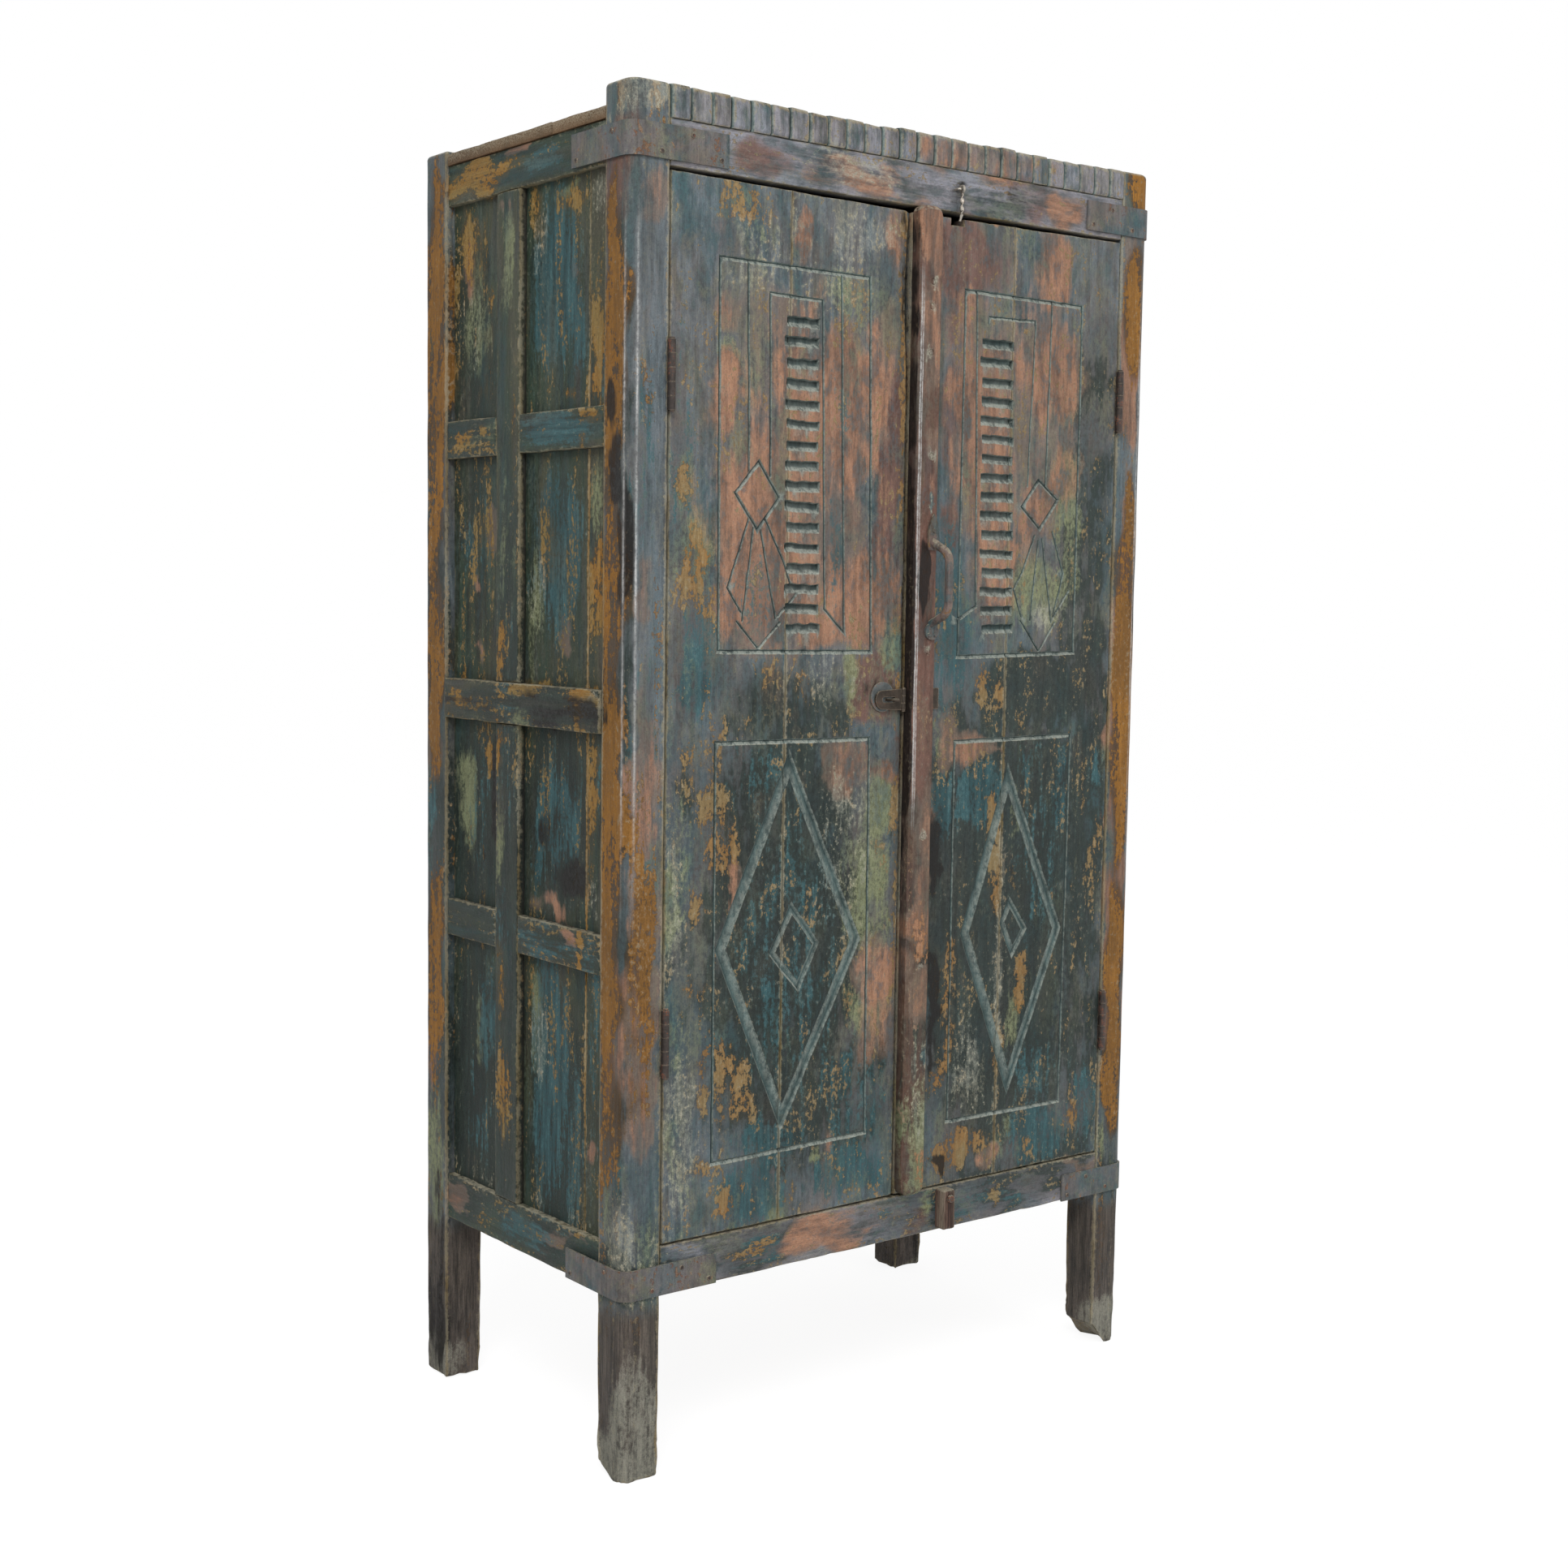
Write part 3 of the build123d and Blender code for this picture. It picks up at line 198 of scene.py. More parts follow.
SIDE_MARKS = {
    "deep": (
        (30, 280, 80, 36, 0.8), (30, 1000, 34, 900, 0.6), (505, 1000, 34, 900, 0.8),
        (180, 880, 90, 150, 1.0), (180, 450, 90, 220, 0.85), (410, 850, 90, 160, 1.0),
        (410, 480, 90, 220, 1.0), (300, 800, 40, 560, 0.8), (420, 1450, 80, 260, 0.6),
        (200, 1020, 240, 40, 0.8), (20, 1250, 16, 200, 0.3), (250, 700, 260, 40, 0.6),
        (110, 900, 20, 600, 0.4), (180, 1200, 80, 160, 0.3),
    ),
    "plum": (
        (40, 1710, 40, 60, 0.5), (60, 1750, 90, 20, 0.6), (200, 930, 40, 40, 0.3),
    ),
    "rust": (
        (155, 1602, 8, 10, 1.0), (170, 1120, 10, 22, 0.8), (310, 1700, 16, 8, 0.8),
        (360, 1260, 14, 40, 0.7), (405, 1180, 8, 16, 1.0), (395, 1090, 10, 30, 0.8),
        (505, 960, 24, 60, 0.6), (260, 1771, 60, 5, 0.7), (132, 718, 28, 7, 1.0),
        (170, 285, 22, 12, 0.7), (440, 290, 36, 12, 0.7), (30, 600, 30, 80, 0.6),
        (90, 430, 10, 10, 0.8), (515, 480, 16, 60, 0.5), (430, 1640, 14, 50, 0.5),
        (120, 300, 60, 10, 0.4), (190, 740, 60, 6, 0.6),
    ),
    "moss": (
        (305, 1620, 18, 70, 0.8), (240, 1180, 16, 70, 0.75), (236, 560, 20, 90, 0.6),
        (425, 870, 26, 66, 0.8), (396, 540, 12, 70, 0.8), (85, 1640, 26, 70, 0.5),
        (390, 1550, 46, 80, 0.45), (520, 1540, 14, 34, 0.6), (85, 1260, 26, 80, 0.5),
        (260, 1000, 20, 120, 0.35), (510, 330, 30, 110, 0.7), (380, 1395, 60, 16, 0.4),
        (310, 1250, 20, 120, 0.35), (30, 330, 30, 80, 0.4), (320, 800, 12, 60, 0.4),
        (185, 1705, 50, 8, 0.8), (430, 700, 40, 20, 0.3),
    ),
    "teal": (
        (195, 1590, 64, 110, 1.0), (140, 1520, 22, 70, 0.85), (190, 1235, 66, 110, 0.9),
        (180, 870, 70, 90, 0.7), (205, 520, 46, 200, 0.95), (150, 430, 40, 120, 0.6),
        (90, 1470, 16, 40, 0.7), (210, 1745, 64, 18, 0.95), (170, 1390, 100, 22, 0.9),
        (372, 560, 34, 110, 0.75), (400, 430, 40, 90, 0.5), (400, 860, 40, 100, 0.4),
        (515, 870, 14, 54, 0.85), (520, 770, 12, 40, 0.6), (200, 700, 70, 18, 0.6),
        (250, 275, 70, 18, 0.6), (90, 560, 24, 160, 0.5), (300, 1000, 24, 160, 0.3),
        (400, 1240, 50, 70, 0.4), (310, 700, 24, 60, 0.45), (30, 430, 30, 60, 0.5),
        (400, 1500, 60, 60, 0.25), (80, 900, 20, 80, 0.4), (240, 820, 14, 60, 0.8),
    ),
    "ochre": (
        (38, 1490, 28, 180, 1.0), (38, 1180, 28, 150, 0.9), (38, 900, 28, 200, 1.0),
        (36, 660, 26, 110, 0.85), (40, 1640, 18, 40, 0.7), (38, 480, 26, 110, 0.6),
        (92, 1520, 20, 50, 0.85), (113, 1000, 3, 720, 1.0), (98, 1450, 18, 30, 0.85),
        (84, 1190, 24, 64, 0.85), (100, 915, 11, 90, 1.0), (100, 1130, 14, 30, 0.6),
        (150, 1698, 34, 12, 0.8), (250, 1685, 12, 40, 0.7), (152, 1440, 16, 12, 0.9),
        (205, 1230, 34, 70, 0.45), (318, 1100, 10, 44, 0.9), (320, 960, 10, 44, 0.9),
        (316, 635, 12, 66, 0.8), (310, 470, 16, 66, 0.6), (432, 1655, 14, 54, 0.8),
        (365, 1582, 7, 22, 0.7), (380, 1500, 30, 60, 0.4), (365, 936, 10, 22, 0.8),
        (502, 1500, 30, 300, 0.9), (505, 1050, 26, 160, 0.85), (505, 620, 24, 170, 0.9),
        (380, 1750, 110, 24, 1.0), (90, 1402, 22, 8, 0.9), (412, 1403, 44, 6, 0.9),
        (100, 1043, 34, 8, 0.9), (250, 1046, 70, 5, 0.8), (440, 1032, 24, 14, 0.5),
        (395, 1640, 30, 70, 0.35), (230, 1640, 20, 50, 0.35), (385, 1240, 40, 60, 0.35),
        (105, 800, 8, 60, 0.7), (440, 1000, 30, 8, 0.4), (60, 1745, 60, 24, 0.25),
    ),
    "soot": (
        (30, 1330, 22, 44, 0.9), (12, 1240, 14, 100, 0.8), (42, 1420, 10, 30, 0.7),
        (150, 790, 44, 34, 0.7), (350, 900, 16, 90, 0.9), (150, 1020, 100, 22, 0.6),
        (400, 1020, 80, 22, 0.4), (220, 850, 20, 30, 0.6), (500, 250, 30, 60, 0.4),
        (400, 800, 60, 60, 0.4), (505, 120, 40, 150, 0.5),
    ),
    "dust": (
        (85, 1690, 26, 40, 0.6), (235, 1640, 26, 60, 0.5), (400, 1540, 50, 60, 0.4),
        (240, 1180, 20, 60, 0.5), (60, 1770, 70, 10, 0.5), (100, 770, 16, 40, 0.7),
        (30, 20, 60, 40, 0.9), (500, 30, 60, 40, 0.8), (200, 330, 90, 14, 0.3),
        (400, 330, 90, 14, 0.3), (85, 1040, 30, 10, 0.5), (230, 560, 24, 60, 0.5),
    ),
}
FRONT_REACH = 40.0  # how far behind the door faces the front's marks still tell
SIDE_REACH = 34.0  # how far inside a side face that side's marks still tell
RIGHT_SIDE_SHIFT = 46.0  # the right side's marks sit this much lower than the left side's


def tone(red, green, blue):
    """A colour given as it looks on a screen, 0 to 255, as the linear values that paint needs."""
    def linear(value):
        share = value / 255.0
        return share / 12.92 if share <= 0.04045 else ((share + 0.055) / 1.055) ** 2.4
    return (linear(red), linear(green), linear(blue))


def colour(name, what, shade):
    """A colour that the panel shows."""
    return FloatVectorProperty(name=name, description=what, subtype="COLOR", size=3,
                               min=0.0, max=1.0, default=shade)


def length(name, what, size):
    """A length that the panel shows, in metres."""
    return FloatProperty(name=name, description=what, subtype="DISTANCE", unit="LENGTH",
                         min=0.0, default=size * MM)


class CupboardPaints(bpy.types.PropertyGroup):
    """The coats of old paint, and what shows where they are gone"""
    slate: colour("Slate", "Last coat, on the front", tone(113, 125, 132))
    slate_dark: colour("Dark slate", "The same coat where it is grimy", tone(76, 82, 84))
    pine_green: colour("Green slate", "Last coat, on the sides", tone(62, 74, 56))
    pine_dark: colour("Dark green", "The same coat where it is grimy", tone(28, 36, 28))
    mauve: colour("Mauve grey", "Last coat, on the rails and frieze", tone(162, 161, 170))
    brown: colour("Brown", "Warm grime round the terracotta", tone(129, 109, 95))
    plum: colour("Plum brown", "Coat round the meeting edges", tone(118, 87, 76))
    rust: colour("Terracotta", "Coat on the carved fields", tone(180, 134, 106))
    rust_dark: colour("Dark terracotta", "The same coat where it is grimy", tone(110, 84, 70))
    moss: colour("Moss", "Pale green remains", tone(148, 154, 116))
    teal: colour("Teal", "Older blue-green coat, rubbed", tone(54, 90, 95))
    teal_bright: colour("Bright teal", "The same coat, freshly chipped", tone(80, 116, 120))
    ochre: colour("Ochre", "Yellow-brown undercoat and rubbed wood", tone(172, 120, 52))
    olive: colour("Olive cream", "Paler undercoat", tone(150, 126, 76))
    umber: colour("Umber", "Darker undercoat of the posts", tone(132, 94, 46))
    deep: colour("Deep green", "Dark green-grey low on the doors", tone(40, 50, 45))
    groove: colour("Groove teal", "Teal left in the carved lines", tone(96, 118, 117))
    dusty: colour("Groove dust", "Grey dust lying in the carved lines", tone(170, 174, 164))
    chip: colour("Door chips", "Undercoat in the doors' chips", tone(160, 116, 64))
    chip_pale: colour("Pale door chips", "Paler undercoat there", tone(150, 130, 92))
    # painted highlight: the near white of the bright lines on the front posts' corners and the
    # strip's chamfer, laid where shine is above 0
    arris: colour("Bright arris", "Corners rubbed to a shine", tone(214, 214, 212))
    cream: colour("Dust", "Pale dust in the carving and on ledges", tone(186, 180, 158))
    # soot: greasy marks, and painted shade in the gap beside the cover strip and at the foot of
    # board walls
    soot: colour("Grime", "Greasy dark marks", tone(26, 23, 21))
    bare: colour("Weathered wood", "The bare legs", tone(88, 78, 70))
    wood: colour("Dry wood", "Unpainted boards", tone(132, 104, 76))
    wood_dark: colour("Dry wood grain", "The darker lines in them", tone(88, 68, 50))


class CupboardIron(bpy.types.PropertyGroup):
    """The ironwork"""
    black: colour("Dark iron", "Old forged iron", tone(66, 58, 54))
    strap: colour("Strap paint", "Painted corner straps", tone(116, 114, 116))
    handle: colour("Handle paint", "Painted bow handle", tone(142, 124, 118))
    worn: colour("Rubbed iron", "Arrises rubbed bright", tone(168, 152, 132))
    brass: colour("Brown iron", "Hasp and staple", tone(64, 55, 46))
    rust: colour("Rust", "Rust where the paint has gone", tone(126, 74, 50))
    steel: colour("Bright steel", "Twisted hook", tone(176, 170, 160))
    plate: colour("Blue-grey paint", "The round plate", tone(92, 98, 98))


class CupboardSizes(bpy.types.PropertyGroup):
    """How worn the boards are and how deep the carving is"""
    arris: length("Arris", "Round worn on to the edges of a board", 2.0)
    hollow: length("Hollow", "How far a hand-planed face dips", 0.7)
    wander: length("Wander", "How far an edge wanders off straight", 0.9)
    spacing: length("Point spacing", "Distance between points on a flat face", 15.0)
    groove: length("Groove width", "Width of the carved lines", 7.0)
    groove_deep: length("Groove depth", "Depth of the carved lines", 3.2)
    gouge_tall: length("Gouge height", "Height of one gouge of the ladder", 14.5)
    gouge_deep: length("Gouge depth", "Depth of one gouge of the ladder", 6.0)
    band_deep: length("Band depth", "Depth of the diamonds' sloping band", 4.2)
    flute_top: length("Frieze chips", "How far the frieze's top is chipped down", 6.0)
    strip_chamfer: length("Strip chamfer", "Chamfer along the cover strip", 5.0)
    hook_twists: IntProperty(name="Hook twists", description="Quarter turns in the hook",
                             default=5, min=0)


class CupboardStage(bpy.types.PropertyGroup):
    """Floor, lamps and camera"""
    floor: colour("Floor", "Pale floor", (0.80, 0.80, 0.80))
    glow: FloatProperty(name="Floor white", description="How white the floor is seen", default=1.24)
    sky: FloatProperty(name="Room light", description="Light from all round",
                       default=0.40, min=0.0)
    key: FloatProperty(name="Key lamp", description="Large soft lamp, front left",
                       default=118.0, min=0.0, unit="POWER")
    fill: FloatProperty(name="Fill lamp", description="Large soft lamp, front right",
                        default=38.0, min=0.0, unit="POWER")
    lens: FloatProperty(name="Lens", description="Focal length of the camera in millimetres",
                        default=48.478, min=1.0)
    shift: FloatProperty(name="Shift", description="Sideways shift of the picture",
                         default=-0.00305)
    eye: FloatVectorProperty(name="Eye", description="Where the camera stands",
                             subtype="TRANSLATION", default=(-1.97507, -2.48351, 1.18049))
    look: FloatVectorProperty(name="Look", description="The way that it looks",
                              subtype="DIRECTION", default=(0.61516718, 0.78322114, -0.09018858))
    upright: FloatVectorProperty(name="Up", description="The top of the picture",
                                 subtype="DIRECTION",
                                 default=(0.04404683, 0.08007317, 0.99581533))


GROUPS = {
    "cupboard_paints": CupboardPaints,
    "cupboard_iron": CupboardIron,
    "cupboard_sizes": CupboardSizes,
    "cupboard_stage": CupboardStage,
}


def mm(name):
    """One of the lengths in the panel, in millimetres."""
    return getattr(bpy.context.scene.cupboard_sizes, name) / MM


# ---- finishes ----------------------------------------------------------------------------
class Wire:
    """One output of a node. Sums on it add Math nodes."""

    def __init__(self, finish, socket):
        self.finish = finish
        self.socket = socket

    def math(self, operation, *values):
        inputs = dict(enumerate(values))
        return self.finish.add("ShaderNodeMath", {"operation": operation}, inputs)

    def __add__(self, other):
        return self.math("ADD", self, other)

    def __sub__(self, other):
        return self.math("SUBTRACT", self, other)

    def __rsub__(self, other):
        return self.math("SUBTRACT", other, self)

    def __mul__(self, other):
        return self.math("MULTIPLY", self, other)

    def clamped(self):
        """The value held between 0 and 1."""
        return self.finish.add("ShaderNodeClamp", inputs={"Value": self})

    __radd__ = __add__
    __rmul__ = __mul__


class Finish:
    """One node material, and the ways to add to it. Its tint is the colour as far as it is made."""

    SPREAD = 2.1  # stretches one octave of noise to about 0 to 1
    BUMP = 0.8

    def __init__(self, name, tree=None):
        if tree:
            self.tree = tree
            return
        self.material = bpy.data.materials.new(name)
        self.material.use_nodes = True
        self.tree = self.material.node_tree
        self.shader = self.tree.nodes["Principled BSDF"]

    def add(self, kind, settings=None, inputs=None, out=0):
        """A node of any kind: settings first, then values or links, and the output asked for."""
        node = self.tree.nodes.new(kind)
        for key, value in (settings or {}).items():
            setattr(node, key, value)
        for key, value in (inputs or {}).items():
            self.join(value, node.inputs[key])
        return Wire(self, node.outputs[out])

    def join(self, value, socket):
        """Link a wire to a socket, or write a plain value into it."""
        if isinstance(value, Wire):
            self.tree.links.new(value.socket, socket)
        elif socket.type == "RGBA" and len(value) == 3:
            socket.default_value = (*value, 1.0)
        else:
            socket.default_value = value

    def attribute(self, name, out="Fac"):
        """A value kept at the points of the mesh."""
        return self.add("ShaderNodeAttribute", {"attribute_name": name}, out=out)

    def scaled(self, vector, by):
        """A position with each of its three parts multiplied."""
        return self.add("ShaderNodeVectorMath", {"operation": "MULTIPLY"}, {0: vector, 1: by})

    def mix(self, share, under, over):
        """One colour laid over another."""
        inputs = {0: share, 6: under, 7: over}
        return self.add("ShaderNodeMix", {"data_type": "RGBA"}, inputs, out=2)

    def shaded(self, field, shade, low, high):
        """A colour that a field takes from dark to light."""
        return self.mix(field, dimmed(shade, low), dimmed(shade, high))

    def field(self, vector, scale, detail, rough, bend=0.0):
        """Cloudy noise spread out evenly over about 0 to 1, however fine its detail."""
        octaves = [rough ** number for number in range(int(detail) + 1)]
        wide = self.SPREAD * sum(octaves) / math.sqrt(sum(part * part for part in octaves))
        inputs = {"Vector": vector, "Scale": scale, "Detail": detail, "Roughness": rough,
                  "Distortion": bend}
        noise = self.add("ShaderNodeTexNoise", inputs=inputs)
        return (noise * wide + (0.5 - 0.5 * wide)).clamped()

    @staticmethod
    def both(first, second, share):
        """Two fields in one, as spread out as each of them."""
        wide = 1.0 / math.hypot(share, 1.0 - share)
        blend = first * (share * wide) + second * ((1.0 - share) * wide)
        return (blend + (0.5 - 0.5 * wide)).clamped()

    def cover(self, amount, field, soft):
        """Where a coat shows: amount is about the share of the surface that it covers."""
        return ((amount * (1.0 + soft) + field - 1.0) * (1.0 / soft)).clamped()

    def lay(self, share, over):
        """Lay another colour over the tint."""
        self.tint = self.mix(share, self.tint, over)

    def finish(self, rough, height, deep):
        """Wire up the shader: tint, roughness, and a bump of the given depth in metres."""
        self.join(self.tint, self.shader.inputs["Base Color"])
        self.join(rough, self.shader.inputs["Roughness"])
        inputs = {"Height": height, "Distance": deep, "Strength": self.BUMP}
        bump = self.add("ShaderNodeBump", inputs=inputs)
        self.join(bump, self.shader.inputs["Normal"])
        return self.material


def upward(finish, low, high):
    """1 where a face looks up, 0 where it doesn't."""
    normal = finish.add("ShaderNodeTexCoord", out="Normal")
    parts = finish.add("ShaderNodeSeparateXYZ", inputs={0: normal}, out="Z")
    return ((parts - low) * (1.0 / (high - low))).clamped()


def dimmed(shade, by):
    """A colour made darker or lighter."""
    return tuple(part * by for part in shade)


def aged_paint(name, ground, ground_dark, streak, chips, under,
               stain=0.15, stray=0.3, boards=True):
    """Layers of worn paint over wood, steered by the coats kept at the mesh's points, with
    painted highlights and painted shade laid in among them.

    streak is below 1 where the marks are drawn out along the grain, chips is the share of small
    chips everywhere, and under gives the two colours that they show. stain is how far the paint
    round them has yellowed, and stray how far the ground wanders to brown, olive and teal.
    Iron has no boards' grain.
    """
    paints = bpy.context.scene.cupboard_paints
    f = Finish(name)
    place = f.add("ShaderNodeTexCoord", out="Object")
    wood = f.attribute("wood", out="Vector") if boards else place
    drawn = f.scaled(wood, (1.0, 1.0, streak))
    cloud = f.field(place, 8.0, 4.0, 0.6)
    drift = f.field(drawn, 17.0, 9.0, 0.6, 0.4)
    other = f.field(f.scaled(wood, (0.8, 1.2, streak * 0.7)), 11.0, 9.0, 0.62, 0.6)
    flake = f.field(drawn, 36.0, 12.0, 0.66, 0.3)
    scuff = f.field(f.scaled(wood, (1.0, 1.0, 0.1)), 95.0, 7.0, 0.62)
    crumbs = f.field(f.scaled(wood, (1.0, 1.0, 0.7)), 170.0, 8.0, 0.72)
    grain = f.field(f.scaled(wood, (1.0, 1.0, 0.03)), 700.0, 4.0, 0.6)
    speck = f.field(place, 900.0, 3.0, 0.6)
    smear = f.both(scuff, flake, 0.45)
    murk = f.both(cloud, smear, 0.4)
    broad = f.both(f.both(drift, scuff, 0.72), crumbs, 0.84)
    blotch = f.both(flake, cloud, 0.6)
    chip_edge = f.both(flake, crumbs, 0.6)
    fine = f.both(crumbs, speck, 0.6)

    coats = {coat: f.attribute(coat) for coat in COATS}
    f.tint = f.mix(murk, ground_dark, ground)
    f.lay(f.cover(0.42, other, 0.5) * stray, paints.brown)
    f.lay(f.cover(0.36, 1.0 - other, 0.4) * stray, dimmed(paints.teal, 1.15))
    mossy = f.cover(0.34, f.both(drift, fine, 0.7), 0.4)
    f.lay(mossy * stray, dimmed(paints.moss, 0.5))
    deep = f.cover(coats["deep"] * 0.9 + 0.08, murk, 0.6)
    f.lay(deep * 0.92, f.shaded(smear, paints.deep, 0.6, 1.3))
    plum = f.cover(coats["plum"] * 0.9 + 0.04, f.both(cloud, broad, 0.5), 0.6)
    f.lay(plum * 0.85, f.shaded(smear, paints.plum, 0.7, 1.15))
    moss = f.cover(coats["moss"] * 0.85 + 0.04, f.both(broad, fine, 0.75), 0.6)
    f.lay(moss * 0.84, f.mix(fine, dimmed(paints.moss, 0.6), paints.moss))
    blur = 0.26 + 0.5 * streak
    warm = f.cover(coats["rust"] * 1.35, f.both(cloud, smear, 0.6), blur)
    f.lay(warm * 0.66, f.shaded(smear, paints.brown, 0.8, 1.2))
    rust = f.cover(coats["rust"] * 0.86 + 0.02, broad, blur)
    red = f.mix(f.both(other, smear, 0.5), paints.rust_dark, paints.rust)
    f.lay(rust * 0.86, red)
    teal = f.cover(coats["teal"] * 0.8 + 0.06, f.both(smear, crumbs, 0.6), 0.35)
    f.lay(teal * 0.85, f.shaded(scuff, paints.teal, 0.6, 1.25))
    fresh = f.cover(coats["teal"] * 0.22 + 0.01, f.both(scuff, fine, 0.5), 0.16)
    f.lay(fresh * 0.6, paints.teal_bright)
    loose = (1.0 - deep * 0.75) * stray
    cool = f.mix(other, dimmed(paints.teal, 1.25), dimmed(paints.slate, 0.6))
    here = f.cover(0.3, f.both(1.0 - flake, crumbs, 0.66), 0.35)
    f.lay(here * loose * 1.7, cool)
    dull = f.mix(cloud, dimmed(paints.moss, 0.7), dimmed(paints.brown, 0.75))
    here = f.cover(0.26, f.both(1.0 - drift, fine, 0.66), 0.35)
    f.lay(here * loose * 1.6, dull)

    yellowed = f.cover(coats["ochre"] * 1.2, f.both(cloud, smear, 0.5), 0.6)
    f.lay(yellowed * stain, dimmed(under[1], 0.4))
    left = coats["ochre"] * 0.78 + chips
    ochre = f.cover(left, chip_edge, 0.05)
    # painted shadow: a thin dark rim round each chip, where the broken paint's edge would cast it
    rim = f.cover(left + 0.04, chip_edge, 0.06) - ochre
    f.lay(rim.clamped() * 0.6, dimmed(ground_dark, 0.45))
    pale = f.mix(blotch, under[0], under[1])
    pale = f.mix((1.0 - f.both(grain, scuff, 0.4)) * 0.35, pale, dimmed(under[0], 0.4))
    f.lay(ochre * 0.92, pale)
    thick = ((coats["dust"] - 0.85) * 4.0).clamped()
    fleck = f.cover(coats["dust"] * 0.2 + 0.03 + thick * 0.3, f.both(crumbs, flake, 0.8), 0.12)
    f.lay(fleck * 0.8, paints.cream)

    bare = ((coats["bare"] * 2.0 - 1.0 + crumbs) * 1.5).clamped() * coats["bare"]
    f.lay(bare * 0.86, f.shaded(f.both(grain, scuff, 0.5), paints.bare, 0.4, 1.4))
    film = f.cover(coats["dust"] * 0.8, f.both(smear, fine, 0.6), 0.7)
    f.lay(film * 0.5, f.mix(0.6, paints.cream, paints.dusty))
    # soot: grease marks, and painted shadow in the gap beside the cover strip
    soot = f.cover(coats["soot"] + 0.03, murk, 0.4)
    f.lay(soot * 0.93, paints.soot)

    edge = f.attribute("edge")
    rubbed = f.cover(edge * 0.85, f.both(crumbs, flake, 0.75), 0.6)
    f.lay(rubbed * 0.5, f.mix(blotch, paints.olive, dimmed(paints.cream, 0.85)))
    # shine: above 0 a painted highlight on the rubbed corners of the front posts and the strip's
    # chamfer, below 0 painted shade at the foot of board walls
    shine = f.attribute("shine")
    f.lay((shine * (crumbs * 0.8 + 0.6)).clamped() * 0.75, paints.arris)
    # painted shade: near black where shine is below 0
    f.lay((0.0 - shine).clamped() * 0.9, paints.soot)

    cut = f.attribute("cut")
    flank = (cut * 5.0).clamped()
    rim_line = (cut * 6.0).clamped() * (1.0 - cut * 1.5).clamped()
    in_groove = f.mix(smear, dimmed(paints.groove, 0.5), paints.groove)
    f.lay(flank * 0.85, in_groove)
    f.lay((rim_line * (crumbs * 1.2 + 0.2)).clamped() * 0.65, paints.dusty)
    ledge = upward(f, 0.32, 0.5)
    groove_dust = (flank * ledge * (f.both(crumbs, smear, 0.6) * 1.3 + 0.1)).clamped()
    f.lay(groove_dust * 0.7, paints.dusty)
    top_dust = (ledge * ledge * (1.0 - flank) * (crumbs * 1.4 - 0.2)).clamped()
    f.lay(top_dust * 0.6, paints.cream)
    # painted shade: a near-black line down the bottom of the deepest cuts, not on faces that look
    # up
    slit_shade = ((cut - 0.64) * 4.0).clamped() * (1.0 - ledge)
    f.lay(slit_shade * 0.75, dimmed(paints.groove, 0.12))

    pits = f.cover(0.07 + coats["soot"] * 0.1, fine, 0.1)
    f.lay(pits * 0.7, dimmed(ground_dark, 0.4))
    shade = 0.5 + grain * 0.18 + crumbs * 0.42 + speck * 0.26 + smear * 0.16
    inputs = {0: f.tint, "Scale": shade}
    f.tint = f.add("ShaderNodeVectorMath", {"operation": "SCALE"}, inputs)

    rough = (0.36 - shine * 0.2 + ochre * 0.14 + film * 0.2 + flank * 0.2 + crumbs * 0.24
             + bare * 0.2)
    height = (grain * 0.22 + scuff * 0.3 + crumbs * 0.55 + (1.0 - ochre) * 0.7 + fleck * 0.2
              + fresh * 0.2 + rust * 0.1 - pits * 0.5 + speck * 0.2)
    f.shader.inputs["Specular IOR Level"].default_value = 0.18
    return f.finish(rough.clamped(), height, 0.0012)


def dry_wood(name, light, dark, darkening):
    """Bare sawn boards, grey with dust and age."""
    paints = bpy.context.scene.cupboard_paints
    f = Finish(name)
    wood = f.attribute("wood", out="Vector")
    figure = f.field(f.scaled(wood, (1.0, 1.0, 0.05)), 46.0, 8.0, 0.62, 0.8)
    grain = f.field(f.scaled(wood, (1.0, 1.0, 0.02)), 480.0, 5.0, 0.62)
    stain = f.field(wood, 7.0, 5.0, 0.6)
    pores = f.field(f.scaled(wood, (1.0, 1.0, 0.08)), 900.0, 2.0, 0.5)
    plank = f.field(f.scaled(wood, (0.3, 0.3, 0.1)), 5.0, 2.0, 0.5)
    f.tint = f.mix(f.both(f.both(figure, grain, 0.6), plank, 0.6), dark, light)
    f.lay(f.cover(darkening * 0.6, f.both(stain, figure, 0.35), 0.8) * 0.5, paints.soot)
    edge = f.attribute("edge")
    f.lay((edge * grain * 1.2).clamped() * 0.5, paints.cream)
    dust = (upward(f, 0.3, 0.95) * (stain + 0.1)).clamped()
    f.lay(dust * 0.45, paints.cream)
    pits = f.cover(0.12, pores, 0.15)
    f.lay(pits * 0.6, dimmed(dark, 0.4))
    rough = 0.72 + figure * 0.18
    height = figure * 0.6 + grain * 0.5 - pits * 0.4
    f.shader.inputs["Specular IOR Level"].default_value = 0.2
    return f.finish(rough, height, 0.0008)


